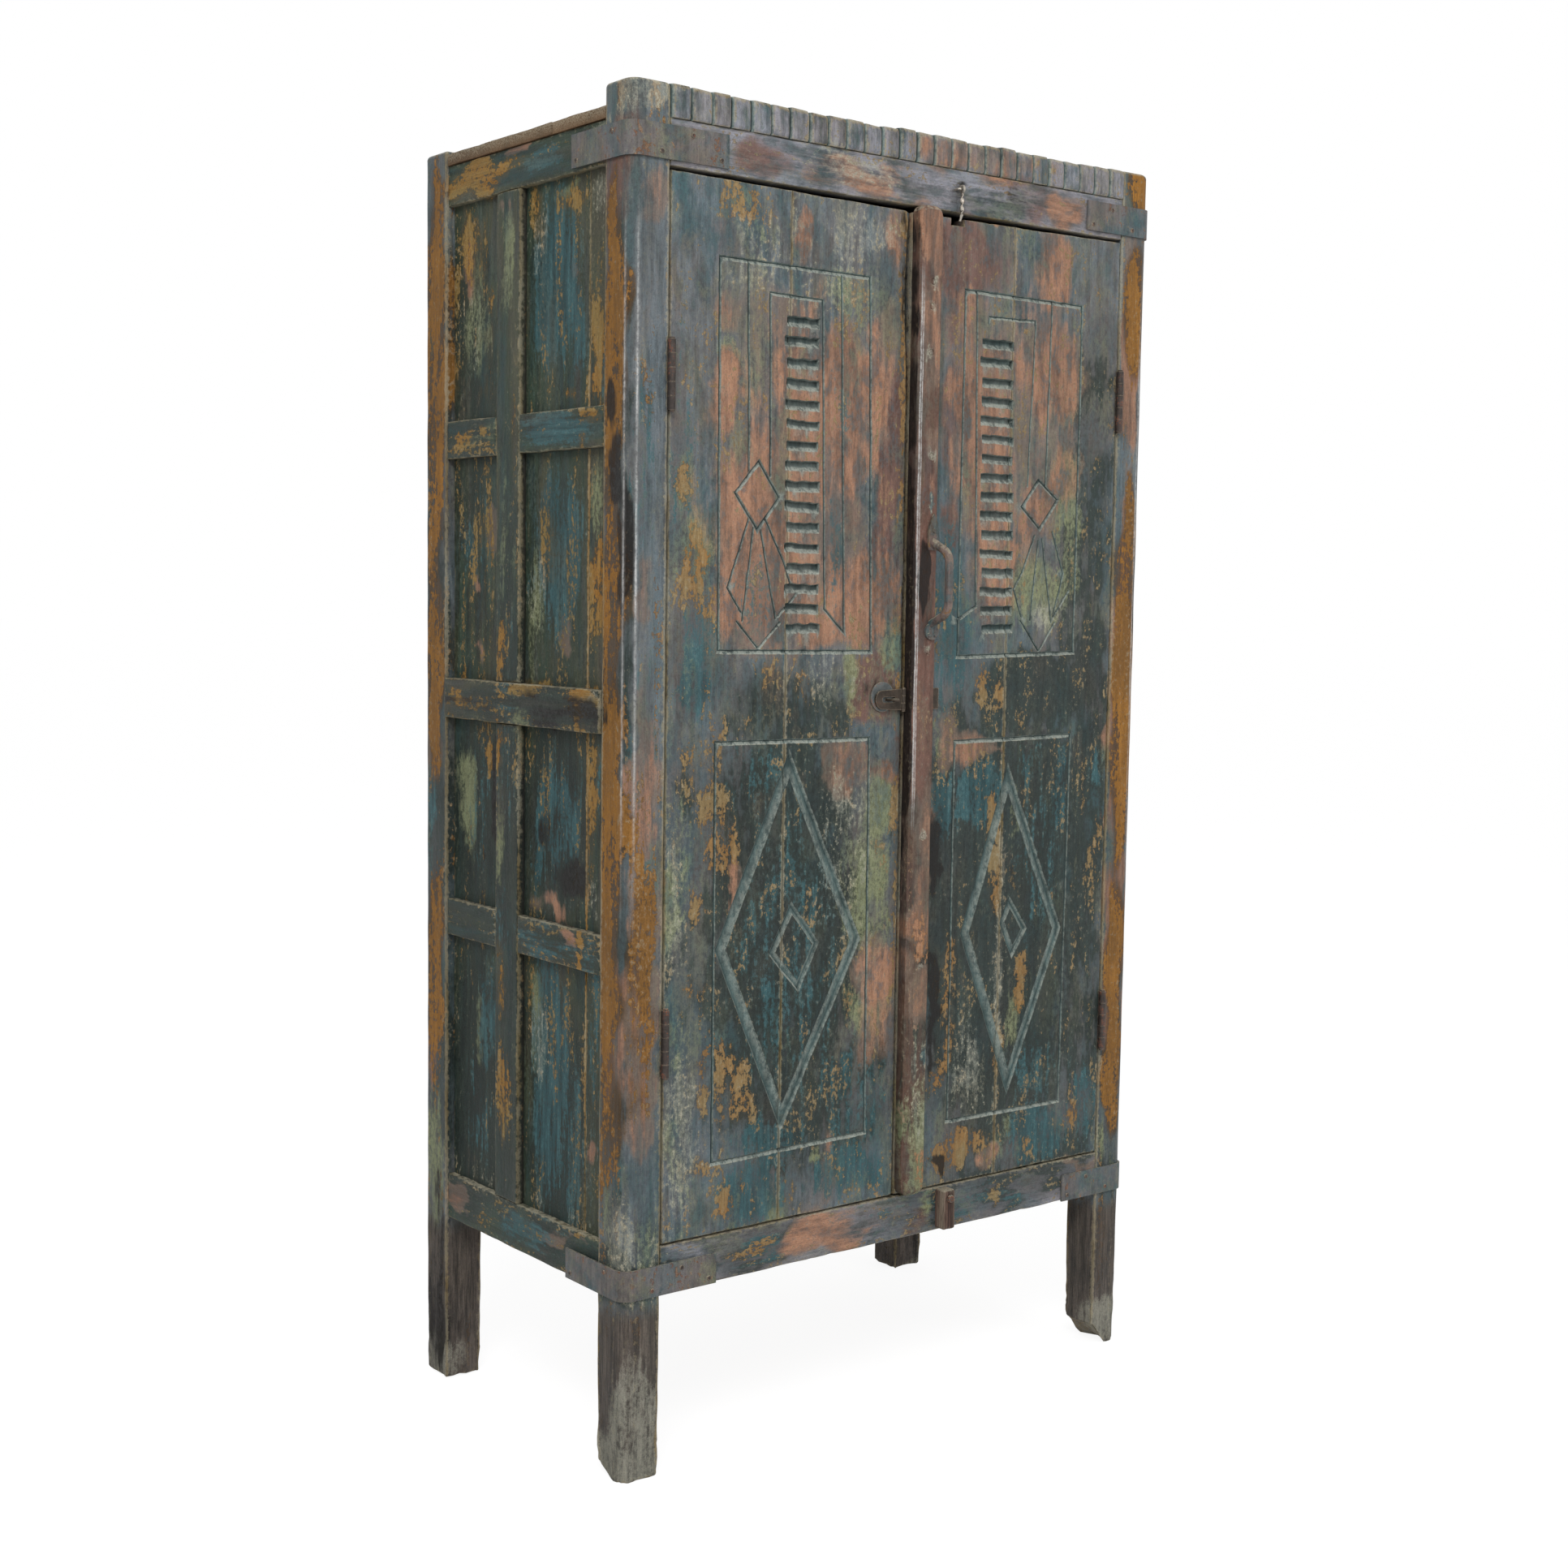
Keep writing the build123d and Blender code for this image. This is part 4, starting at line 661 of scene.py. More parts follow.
def forged_iron(name, base, worn, rusty, gloss, metal, rubbing):
    """Old iron: pitted, blotched with rust and rubbed bright on its arrises.

    rusty is the share that has rusted, gloss the roughness of its clean parts, metal how
    metallic they are, and rubbing how bright the arrises are.
    """
    iron = bpy.context.scene.cupboard_iron
    paints = bpy.context.scene.cupboard_paints
    f = Finish(name)
    place = f.add("ShaderNodeTexCoord", out="Object")
    blotch = f.field(place, 60.0, 6.0, 0.65)
    pitting = f.field(place, 420.0, 6.0, 0.7)
    fine = f.field(place, 1500.0, 3.0, 0.6)
    soft = f.add("ShaderNodeBevel", {"samples": 4}, {"Radius": 0.0012})
    true = f.add("ShaderNodeNewGeometry", out="Normal")
    settings = {"operation": "DOT_PRODUCT"}
    agree = f.add("ShaderNodeVectorMath", settings, {0: soft, 1: true}, out="Value")
    arris = ((1.0 - agree) * 9.0).clamped()
    f.tint = f.shaded(blotch, base, 0.6, 1.3)
    rusted = f.cover(rusty, f.both(pitting, blotch, 0.5), 0.25)
    f.lay(rusted * 0.85, iron.rust)
    bright = (arris * (pitting * 1.2 + 0.2)).clamped() * rubbing
    f.lay(bright, worn)
    dust = (upward(f, 0.5, 0.95) * (pitting + 0.15)).clamped()
    f.lay(dust * 0.6, paints.cream)
    rough = gloss + rusted * 0.3 + pitting * 0.2 - bright * 0.15
    metallic = (metal - rusted * 0.5 - dust * 0.6 + bright * 0.3).clamped()
    f.join(metallic, f.shader.inputs["Metallic"])
    height = pitting * 0.6 + blotch * 0.4 + fine * 0.15
    return f.finish(rough.clamped(), height, 0.0006)


FINISHES = {  # each of the record's material slots, from the panel's paints p and irons i
    "post_paint": lambda slot, p, i: aged_paint(
        slot, p.slate, p.slate_dark, 0.16, 0.05, (p.ochre, p.umber), 0.7, 0.2),
    "front_paint": lambda slot, p, i: aged_paint(
        slot, p.mauve, p.slate_dark, 0.4, 0.04, (p.chip, p.chip_pale), 0.15, 0.2),
    "side_paint": lambda slot, p, i: aged_paint(
        slot, p.pine_green, p.pine_dark, 0.18, 0.05, (p.ochre, p.olive), 0.4, 0.14),
    "door_paint": lambda slot, p, i: aged_paint(
        slot, p.slate, p.slate_dark, 0.45, 0.05, (p.chip, p.chip_pale)),
    "strip_paint": lambda slot, p, i: aged_paint(
        slot, p.plum, dimmed(p.rust_dark, 0.6), 0.25, 0.03, (p.chip, p.rust), 0.15, 0.12),
    "strap_iron": lambda slot, p, i: aged_paint(
        slot, i.strap, p.slate_dark, 0.8, 0.04, (p.chip, i.rust), boards=False),
    "handle_iron": lambda slot, p, i: aged_paint(
        slot, i.handle, i.black, 0.8, 0.04, (i.rust, p.chip), boards=False),
    "inside_wood": lambda slot, p, i: dry_wood(slot, p.wood, p.wood_dark, 0.5),
    "top_wood": lambda slot, p, i: dry_wood(slot, p.wood, p.wood_dark, 0.7),
    "button_wood": lambda slot, p, i: dry_wood(slot, p.plum, p.soot, 0.4),
    "nail_iron": lambda slot, p, i: forged_iron(slot, i.black, i.worn, 0.2, 0.4, 0.7, 1.0),
    "hinge_iron": lambda slot, p, i: forged_iron(slot, i.black, i.worn, 0.22, 0.5, 0.5, 0.7),
    "hasp_iron": lambda slot, p, i: forged_iron(slot, i.brass, i.worn, 0.1, 0.42, 0.6, 0.9),
    "rosette_iron": lambda slot, p, i: forged_iron(slot, i.plate, i.worn, 0.25, 0.55, 0.2, 0.8),
    "hook_steel": lambda slot, p, i: forged_iron(slot, i.steel, i.worn, 0.1, 0.28, 0.9, 1.0),
}
MADE = {}


def material(slot):
    """The finish of one of the record's material slots, made once."""
    if slot not in MADE:
        scene = bpy.context.scene
        MADE[slot] = FINISHES[slot](slot, scene.cupboard_paints, scene.cupboard_iron)
    return MADE[slot]


# ---- shapes ------------------------------------------------------------------------------
def ripple(along, across, wavelength, seed):
    """Smooth aimless waves between about -1 and 1, the same on every run."""
    rng = np.random.default_rng(seed)
    along = np.asarray(along, float)
    total = np.zeros(np.broadcast(along, across).shape)
    for _ in range(5):
        turn = rng.uniform(0.0, 2 * math.pi)
        phase = rng.uniform(0.0, 2 * math.pi)
        pace = 2 * math.pi / (wavelength * rng.uniform(0.6, 1.7))
        total = total + np.sin(pace * (along * math.cos(turn) + across * math.sin(turn)) + phase)
    return total / 3.2


def wave(along, across, wavelength, seed):
    """The same waves about 1, and never below 0."""
    return np.clip(1 + ripple(along, across, wavelength, seed), 0, None)


def divided(points, spacing, closed):
    """A chain of points with more points put in, so that none are further apart than spacing."""
    points = [np.asarray(p, float) for p in points]
    pairs = list(zip(points, points[1:] + points[:1])) if closed else list(zip(points, points[1:]))
    chain = []
    for start, end in pairs:
        steps = max(1, math.ceil(np.linalg.norm(end - start) / spacing))
        chain.extend(start + (end - start) * k / steps for k in range(steps))
    if not closed:
        chain.append(points[-1])
    return np.array(chain)


def sideways(points, closed):
    """At each point of a chain, the step of length 1 to its left, longer at a mitre."""
    before = np.roll(points, 1, 0)
    after = np.roll(points, -1, 0)
    if not closed:
        before[0] = 2 * points[0] - points[1]
        after[-1] = 2 * points[-1] - points[-2]
    arriving = points - before
    leaving = after - points
    arriving /= np.linalg.norm(arriving, axis=1)[:, None]
    leaving /= np.linalg.norm(leaving, axis=1)[:, None]
    both = arriving + leaving
    left = np.stack([-both[:, 1], both[:, 0]], 1)
    return left * (2 / np.maximum((left ** 2).sum(1), 0.5))[:, None]


def wandering(chain, closed, wavelength, seed, far):
    """How far each point of a drawn chain strays sideways from where it was meant."""
    return sideways(chain, closed) * (ripple(*chain.T, wavelength, seed) * far)[:, None]


def distance_to(points, chain, closed):
    """Distance of points to a chain, with the sign of the side that looks up."""
    starts = chain if closed else chain[:-1]
    ends = np.roll(chain, -1, 0) if closed else chain[1:]
    run = ends - starts
    size = np.maximum((run ** 2).sum(1), 1e-9)
    share = np.clip(((points[:, None] - starts[None]) * run[None]).sum(2) / size, 0, 1)
    foot = starts[None] + share[..., None] * run[None]
    gap = points[:, None] - foot
    far = np.sqrt((gap ** 2).sum(2))
    nearest = far.argmin(1)
    rows = np.arange(len(points))
    steep = np.abs(run[nearest, 0]) / np.sqrt(size[nearest])
    return far[rows, nearest], gap[rows, nearest, 1] >= 0, steep


def inside(points, outline):
    """Which points lie inside a closed outline."""
    x, y = points[:, 0][:, None], points[:, 1][:, None]
    x0, y0 = outline[:, 0][None], outline[:, 1][None]
    x1, y1 = np.roll(outline[:, 0], -1)[None], np.roll(outline[:, 1], -1)[None]
    crossing = (y0 > y) != (y1 > y)
    rise = np.where(y1 == y0, 1e-9, y1 - y0)
    return (crossing & (x < x0 + (y - y0) * (x1 - x0) / rise)).sum(1) % 2 == 1


def clipped(chain, low, high):
    """The runs of a chain between two uprights."""
    runs = []
    run = []
    for start, end in zip(chain, chain[1:]):
        first, last = 0.0, 1.0
        for bound, sign in ((low, 1.0), (high, -1.0)):
            here, there = sign * (start[0] - bound), sign * (end[0] - bound)
            if here < 0 and there < 0:
                first, last = 1.0, 0.0
                break
            if here < 0:
                first = max(first, here / (here - there))
            elif there < 0:
                last = min(last, here / (here - there))
        if first < last:
            if first > 0 or not run:
                run = [start + (end - start) * first]
                runs.append(run)
            run.append(start + (end - start) * last)
        if last < 1.0 or first >= last:
            run = []
    return [np.array(r) for r in runs if len(r) > 1]


class Groove:
    """A hand-cut V line: its steep flank above and its wide flank below."""

    SHADE = 1.0  # scales the cut kept at its points, and with it the painted shade at its bottom

    def __init__(self, points, width, deep, closed=False, seed=1, step=11.0):
        chain = divided(points, step, closed)
        corners = np.array(points, float)
        moved = wandering(chain, closed, 30.0, seed, 0.45)
        at_corner = np.array([np.abs(corners - p).sum(1).min() < 1e-6 for p in chain])
        moved[at_corner] = 0.0
        self.chain = chain + moved
        self.closed = closed
        self.width = width
        self.deep = deep

    def halves(self, steep):
        """Widths of the upper and the lower flank where the line runs at this slope."""
        return self.width * (0.34 - 0.02 * steep), self.width * (0.34 + 0.34 * steep)

    def lines(self):
        """The chains that the mesh needs: both rims and the bottom."""
        step = sideways(self.chain, self.closed)
        faces_up = np.sign(step[:, 1] + 1e-9)
        steep = np.abs(step[:, 1]) / np.linalg.norm(step, axis=1)
        upper, lower = self.halves(steep)
        left = self.chain + step * np.where(faces_up > 0, upper, lower)[:, None]
        right = self.chain - step * np.where(faces_up > 0, lower, upper)[:, None]
        if self.closed:
            return [close(left), close(self.chain), close(right)]
        ahead = self.chain[-1] - self.chain[-2]
        behind = self.chain[0] - self.chain[1]
        tips = (self.chain[0] + behind / np.linalg.norm(behind) * self.width * 0.4,
                self.chain[-1] + ahead / np.linalg.norm(ahead) * self.width * 0.4)
        rim = np.vstack([tips[0], left, tips[1], right[::-1], tips[0]])
        return [rim, self.chain]

    def deep_at(self, points):
        """How deep the cut is at each point."""
        far, above, steep = distance_to(points, self.chain, self.closed)
        upper, lower = self.halves(steep)
        width = np.where(above, upper, lower)
        return self.deep * np.clip(1 - far / width, 0, 1)

    def reach(self):
        return self.chain.min(0) - self.width, self.chain.max(0) + self.width


class Gouge:
    """One notch of the ladder: cut straight in at its top and sloping out to its foot."""

    # as in Groove: scales the painted shade at its bottom
    SHADE = 0.82
    DOWN = (0.0, 0.13, 0.52, 0.9, 1.0)
    DEPTH = (0.0, 1.0, 0.92, 0.24, 0.0)
    END = 1.5  # how far its ends slope

    def __init__(self, low_x, high_x, z, tall, deep, seed):
        rng = np.random.default_rng(seed)
        self.x = (low_x + rng.uniform(-2.5, 2.5), high_x + rng.uniform(-2.5, 2.5))
        self.tilt = rng.uniform(-0.8, 0.8)
        self.z = z + rng.uniform(-1.0, 1.0)
        self.tall = tall * rng.uniform(0.88, 1.08)
        self.deep = deep * rng.uniform(0.8, 1.1)
        self.seed = seed

    def height_at(self, x, share):
        """Height of a line across the notch, share of the way down from its top."""
        along = (x - self.x[0]) / (self.x[1] - self.x[0]) - 0.5
        seed = self.seed + (5 if share > 0.3 else 0)
        uneven = ripple(x, 0.0, 17.0, seed) * (1.1 - 0.5 * share)
        return self.z + self.tall * (0.5 - share) + along * self.tilt * 2 + uneven

    def lines(self):
        low, high = self.x
        between = np.linspace(low + self.END, high - self.END, 9)
        x = np.concatenate([[low], between, [high]])
        chains = [np.stack([x, self.height_at(x, share)], 1) for share in self.DOWN]
        ends = [np.array([chain[end] for chain in chains]) for end in (0, -1)]
        return chains + ends

    def deep_at(self, points):
        x, z = points[:, 0], points[:, 1]
        top = self.height_at(x, 0.0)
        share = (top - z) / self.tall
        down = np.interp(share, self.DOWN, self.DEPTH, left=0.0, right=0.0)
        low, high = self.x
        ends = np.clip((x - low) / self.END, 0, 1) * np.clip((high - x) / self.END, 0, 1)
        return self.deep * down * ends

    def reach(self):
        low, high = self.x
        return np.array([low - 1, self.z - self.tall]), np.array([high + 1, self.z + self.tall])


class Band:
    """The sloping band of a diamond: steep outside, rising to a thin inner line."""

    # as in Groove: scales the painted shade at its bottom
    SHADE = 0.74
    WALL = 4.0  # width of its steep outer flank
    INNER_LINE = 1.6  # half width of the thin line inside it

    def __init__(self, corners, wide, deep, seed):
        centre = np.mean(corners, 0)
        self.outer = self.wobbled(np.array(corners, float), seed)
        self.inner = self.wobbled(self.shrunk(corners, centre, wide), seed + 1)
        self.wall = self.wobbled(self.shrunk(corners, centre, self.WALL), seed)
        self.wide = wide
        self.deep = deep

    @staticmethod
    def wobbled(corners, seed):
        chain = divided(corners, 12.0, True)
        return chain + wandering(chain, True, 45.0, seed, 0.5)

    @staticmethod
    def shrunk(corners, centre, by):
        """The same diamond drawn in by a distance on every side."""
        corners = np.array(corners, float)
        return corners + sideways(corners, True) * by

    def lines(self):
        step = sideways(self.inner, True) * self.INNER_LINE
        inner_rims = [self.inner - step, self.inner + step]
        return [close(chain) for chain in (self.outer, self.wall, self.inner, *inner_rims)]

    def deep_at(self, points):
        from_outer = distance_to(points, self.outer, True)[0]
        from_inner = distance_to(points, self.inner, True)[0]
        in_band = inside(points, self.outer) & ~inside(points, self.inner)
        wall = np.clip(from_outer / self.WALL, 0, 1)
        slope = np.clip(from_inner / (self.wide - self.WALL), 0, 1)
        band = np.where(in_band, self.deep * np.minimum(wall, 0.25 + 0.75 * slope), 0.0)
        line = self.deep * 0.45 * np.clip(1 - from_inner / self.INNER_LINE, 0, 1)
        return np.maximum(band, line)

    def reach(self):
        return self.outer.min(0) - 3.0, self.outer.max(0) + 3.0


def close(chain):
    """The chain with its first point again at its end."""
    return np.vstack([chain, chain[:1]])


class Board:
    """A board laid out on its face: across, up, and how thick it is there.

    Its edge keeps how far the paint is rubbed, its cut how deep the carving is, and its
    shine the painted highlight where it is rubbed bright; below nothing, painted shade.
    """

    RIM_STEP = 9.0
    RUBBED = 1.8  # how far in from an edge the rubbing reaches
    THINNEST = 0.3

    def __init__(self, outline, thick, seed, cuts=(), arris=2.0, chamfer=False, straight=(),
                 hollow=0.7, wander=0.9, spacing=15.0, eaten=None, bright=None):
        rim = divided(outline, self.RIM_STEP, True)
        inward = 0.5 * wander * wave(rim[:, 0], rim[:, 1], 70.0, seed)
        inward += 1.6 * wander * np.clip(ripple(rim[:, 0], rim[:, 1], 16.0, seed + 9) - 0.75, 0, 1)
        if eaten is not None:
            inward += eaten(rim)
        for upright in straight:
            inward[np.abs(rim[:, 0] - upright) < 0.01] = 0.0
        rim = rim + sideways(rim, True) * inward[:, None]
        offsets = [arris * share for share in (0.0, 0.35, 1.0, 3.0)]
        if chamfer:
            offsets = (0.0, 1.3, *(arris + off for off in (-2.5, -1.3, 0.0, 1.3, 2.5)), 3 * arris)
        chains = [close(rim + sideways(rim, True) * offset) for offset in offsets]
        low, high = rim[:, 0].min(), rim[:, 0].max()
        for cut in cuts:
            for chain in cut.lines():
                chains.extend(clipped(chain, low, high))
        points, faces = self.triangles(chains, rim, spacing, seed)
        near_rim = distance_to(points, rim, True)[0]
        if chamfer:
            drop = np.clip(arris - near_rim, 0, None)
        else:
            into = np.clip(1 - near_rim / arris, 0, 1)
            drop = arris * (1 - np.sqrt(np.clip(1 - into ** 2, 0, 1)))
        deep = np.zeros(len(points))
        self.cut = np.zeros(len(points))
        for cut in cuts:
            first, last = cut.reach()
            near = ((points > first) & (points < last)).all(1)
            if near.any():
                there = cut.deep_at(points[near])
                # each cut's SHADE scales the cut kept here, and with it the painted shade at its
                # bottom
                dark = np.clip(there / cut.deep, 0, 1) * cut.SHADE
                deep[near] = np.maximum(deep[near], there)
                self.cut[near] = np.maximum(self.cut[near], dark)
        dip = 0.5 * hollow * wave(points[:, 0], points[:, 1], 120.0, seed + 3)
        dip += 0.15 * hollow * wave(points[:, 0], points[:, 1], 28.0, seed + 4)
        top = np.maximum(thick - drop - deep - dip, self.THINNEST)
        self.edge = np.exp(-near_rim / self.RUBBED) * (0.2 if chamfer else 1.0)
        for upright in straight:
            self.edge += 0.9 * np.exp(-np.abs(points[:, 0] - upright) / self.RUBBED)
        self.shine = np.zeros(len(points)) if bright is None else bright(points, near_rim)
        self.points = np.column_stack([points, top])
        self.faces = faces
        self.back = []  # which face is the flat back
        # painted shade: the walls darken towards their foot, less under a chamfer
        self.add_walls(-0.55 if chamfer else -1.0)

    @staticmethod
    def triangles(chains, rim, spacing, seed):
        """Join the chains and a scatter of points between them into a mesh inside the rim."""
        rng = np.random.default_rng(seed)
        low, high = rim.min(0), rim.max(0)
        across = np.arange(low[0], high[0], spacing)
        up = np.arange(low[1], high[1], spacing * 0.87)
        grid = np.stack(np.meshgrid(across, up), -1)
        grid[1::2, :, 0] += spacing / 2
        grid = grid.reshape(-1, 2) + rng.uniform(-0.22, 0.22, (grid.size // 2, 2)) * spacing
        grid = grid[inside(grid, rim)]
        fixed = np.vstack(chains)
        clear = np.ones(len(grid), bool)
        for start in range(0, len(grid), 400):
            part = grid[start:start + 400]
            gap = ((part[:, None] - fixed[None]) ** 2).sum(2).min(1)
            clear[start:start + 400] = gap > (0.5 * spacing) ** 2
        grid = grid[clear]
        edges = []
        count = 0
        for chain in chains:
            edges.extend((count + k, count + k + 1) for k in range(len(chain) - 1))
            count += len(chain)
        vectors = [Vector(p) for p in np.vstack([fixed, grid])]
        result = delaunay_2d_cdt(vectors, edges, [], 1, 0.02)
        points = np.array([tuple(v) for v in result[0]])
        return points, [tuple(face) for face in result[2]]

    def add_walls(self, darkening):
        """Drop the rim to the back of the board and close it there; darkening is the painted shade
        that the walls take at their foot.
        """
        sides = {}
        for face in self.faces:
            sides.update(dict.fromkeys(zip(face, face[1:] + face[:1])))
        step = {start: end for start, end in sides if (end, start) not in sides}
        start = next(iter(step))
        loop = [start]
        while step[loop[-1]] != start:
            loop.append(step[loop[-1]])
        count = len(self.points)
        bottom = self.points[loop].copy()
        bottom[:, 2] = 0.0
        self.points = np.vstack([self.points, bottom])
        self.edge = np.concatenate([self.edge, np.zeros(len(loop))])
        self.cut = np.concatenate([self.cut, np.zeros(len(loop))])
        # painted shade at the foot of the walls, kept as shine below 0
        self.shine = np.concatenate([self.shine, np.full(len(loop), darkening)])
        for k, top in enumerate(loop):
            following = (k + 1) % len(loop)
            self.faces.append((loop[following], top, count + k, count + following))
        self.back.append(len(self.faces))
        self.faces.append(tuple(count + k for k in reversed(range(len(loop)))))


PLACES = {  # which way a board's across, up and thickness go, and whether that turns it over
    "front": lambda p, base: (np.column_stack([p[:, 0], base - p[:, 2], p[:, 1]]), False),
    "back": lambda p, base: (np.column_stack([p[:, 0], base + p[:, 2], p[:, 1]]), True),
    "left": lambda p, base: (np.column_stack([base - p[:, 2], p[:, 0], p[:, 1]]), True),
    "right": lambda p, base: (np.column_stack([base + p[:, 2], p[:, 0], p[:, 1]]), False),
    "top": lambda p, base: (np.column_stack([p[:, 0], p[:, 1], base + p[:, 2]]), False),
}


class Skin:
    """Points and faces of one piece in the frame, with what its paint needs at each point."""

    def __init__(self):
        self.points, self.faces, self.edge, self.cut, self.grain, self.back = [], [], [], [], [], []
        self.shine = []
        self.count = 0

    def add(self, points, faces, edge, cut, run, seed, back=(), shine=None):
        """Add one solid; run is the axis that its grain follows."""
        rng = np.random.default_rng(seed + 77)
        across = [axis for axis in (X, Y, Z) if axis != run]
        grain = points[:, [*across, run]] + rng.uniform(0, 4000, 3)
        first = len(self.faces)
        self.points.append(points)
        self.faces.extend(tuple(self.count + i for i in face) for face in faces)
        self.back.extend(first + number for number in back)
        self.edge.append(edge)
        self.cut.append(cut)
        self.shine.append(np.zeros(len(points)) if shine is None else shine)
        self.grain.append(grain)
        self.count += len(points)

    def add_board(self, board, place, base, run, seed):
        """Add a board, laid on one of the cupboard's faces with its back at base."""
        points, turned = PLACES[place](board.points, base)
        faces = [face[::-1] for face in board.faces] if turned else board.faces
        self.add(points, faces, board.edge, board.cut, run, seed, board.back, board.shine)

    def build(self, name, body, slot, replaced, back_slot=None, smooth=32.0):
        """Write the mesh, give it its coats and finish, and set it in the frame."""
        points = np.vstack(self.points)
        mesh = bpy.data.meshes.new(name)
        mesh.from_pydata((points * MM).tolist(), [], self.faces)
        mesh.validate()
        for label, values in (("edge", self.edge), ("cut", self.cut), ("shine", self.shine)):
            write_value(mesh, label, np.concatenate(values))
        for label, values in coats_at(points).items():
            write_value(mesh, label, values)
        vectors = mesh.attributes.new("wood", "FLOAT_VECTOR", "POINT")
        vectors.data.foreach_set("vector", (np.vstack(self.grain) * MM).astype(np.float32).ravel())
        mesh.polygons.foreach_set("use_smooth", [True] * len(mesh.polygons))
        mesh.set_sharp_from_angle(angle=math.radians(smooth))
        mesh.materials.append(material(slot))
        if back_slot:
            mesh.materials.append(material(back_slot))
            for number in self.back:
                mesh.polygons[number].material_index = 1
        return settle(bpy.data.objects.new(name, mesh), body, replaced)


def write_value(mesh, label, values):
    """Keep one number at every point of a mesh."""
    kept = mesh.attributes.new(label, "FLOAT", "POINT")
    kept.data.foreach_set("value", values.astype(np.float32))


def settle(piece, body, replaced):
    """Link a piece, let it ride on its body, and hide the plain nodes that it stands for."""
    bpy.context.scene.collection.objects.link(piece)
    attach(piece, body)
    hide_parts(*replaced)
    return piece


def coats_at(points):
    """How much of each coat is left at each point of the cupboard."""
    x, z = points[:, X], points[:, Z]
    depth = points[:, Y] - FRONT
    level = z + np.where(x > 0, RIGHT_SIDE_SHIFT, 0.0)
    near_front = np.clip(depth, 0, None) / FRONT_REACH
    near_side = np.clip(OUT_X - np.abs(x), 0, None) / SIDE_REACH
    behind_face = depth > 1.5
    coats = {}
    for number, coat in enumerate(MARKED):
        front = coat_left(FRONT_MARKS[coat], x, z, near_front, 700 + number)
        side = coat_left(SIDE_MARKS[coat], depth, level, near_side, 740 + number)
        coats[coat] = np.maximum(front, side * behind_face)
    coats["bare"] = np.clip((LEG_TOP + 8.0 * ripple(x, depth, 40.0, 790) - z) / 30.0, 0, 1)
    return coats


def coat_left(marks, across, up, away, seed):
    """How much of one coat its marks leave; away is how far a point is behind their face.

    The places of broad marks are bent by slow waves, so that their outlines wander.
    """
    bent_across = ripple(across, up, 80.0, seed) * 9.0
    bent_up = ripple(across, up, 110.0, seed + 20) * 14.0
    left = np.zeros(len(up))
    for mark_across, mark_up, wide, tall, amount in marks:
        loose = min(1.0, wide / 25.0)
        off_across = (across + bent_across * loose - mark_across) / wide
        off_up = (up + bent_up * loose - mark_up) / tall
        off = np.hypot(np.hypot(off_across, off_up), away)
        left = np.maximum(left, amount * fade(off))
    return left


def fade(off):
    """Full strength in the middle of a mark, nothing well outside it."""
    share = np.clip((1.4 - off) / 0.8, 0, 1)
    return share * share * (3 - 2 * share)


def rounded(corners, spacing):
    """A closed outline through corners given as (a, b, radius), and how sharp each point is."""
    points, sharp = [], []
    count = len(corners)
    places = [np.array(c[:2], float) for c in corners]
    for k, (_, _, radius) in enumerate(corners):
        corner = places[k]
        arriving = corner - places[k - 1]
        leaving = places[(k + 1) % count] - corner
        arriving /= np.linalg.norm(arriving)
        leaving /= np.linalg.norm(leaving)
        centre = corner - arriving * radius + leaving * radius
        small = radius < 5
        steps = 3 if small else 12
        for turn in (0.5 * math.pi * step / steps for step in range(steps + 1)):
            outward = arriving * radius * math.sin(turn)
            points.append(centre - leaving * radius * math.cos(turn) + outward)
            sharp.append(1.0 if small else 0.1)
    loop, values = [], []
    for k, start in enumerate(points):
        end = points[(k + 1) % len(points)]
        run = np.linalg.norm(end - start)
        loop.append(start)
        values.append(sharp[k])
        if run > 9.0:
            steps = max(2, math.ceil(run / spacing))
            shares = [3.5 / run, *np.linspace(0, 1, steps + 1)[1:-1], 1 - 3.5 / run]
            for share in shares:
                loop.append(start + (end - start) * share)
                values.append(0.3 if share in (shares[0], shares[-1]) else 0.0)
    return np.array(loop), np.array(values)


def loft(rings):
    """Faces between rings of the same number of points, closed at both ends."""
    size = len(rings[0])
    faces = []
    for level in range(len(rings) - 1):
        here, above = level * size, (level + 1) * size
        for k in range(size):
            following = (k + 1) % size
            faces.append((here + k, here + following, above + following, above + k))
    faces.append(tuple(reversed(range(size))))
    last = (len(rings) - 1) * size
    faces.append(tuple(last + k for k in range(size)))
    return faces


def box_outline(low_a, high_a, low_b, high_b):
    """Corners of an upright rectangle, going round to the left."""
    return [(low_a, low_b), (high_a, low_b), (high_a, high_b), (low_a, high_b)]


# ---- wooden pieces -----------------------------------------------------------------------
POST_ROUND = {True: 17.0, False: 6.0}  # radius of the outer corner, on front and back posts
POST_ARRIS = 1.8
POST_STEP = 12.0
FOOT_WORN = 160.0  # the feet are worn up to here
FOOT_ROTTEN = 120.0  # and uneven up to here
HEAD_ROUND = {6.0: 0.0, 3.4: 0.7, 1.4: 2.2, 0.3: 4.2, 0.0: 6.0}  # drawn in, by how far from the top
FOOT_ROUND = {0.0: 1.6, 1.2: 0.5, 3.0: 0.0, 6.0: 0.0}
LARGEST_CHIP = 3.2


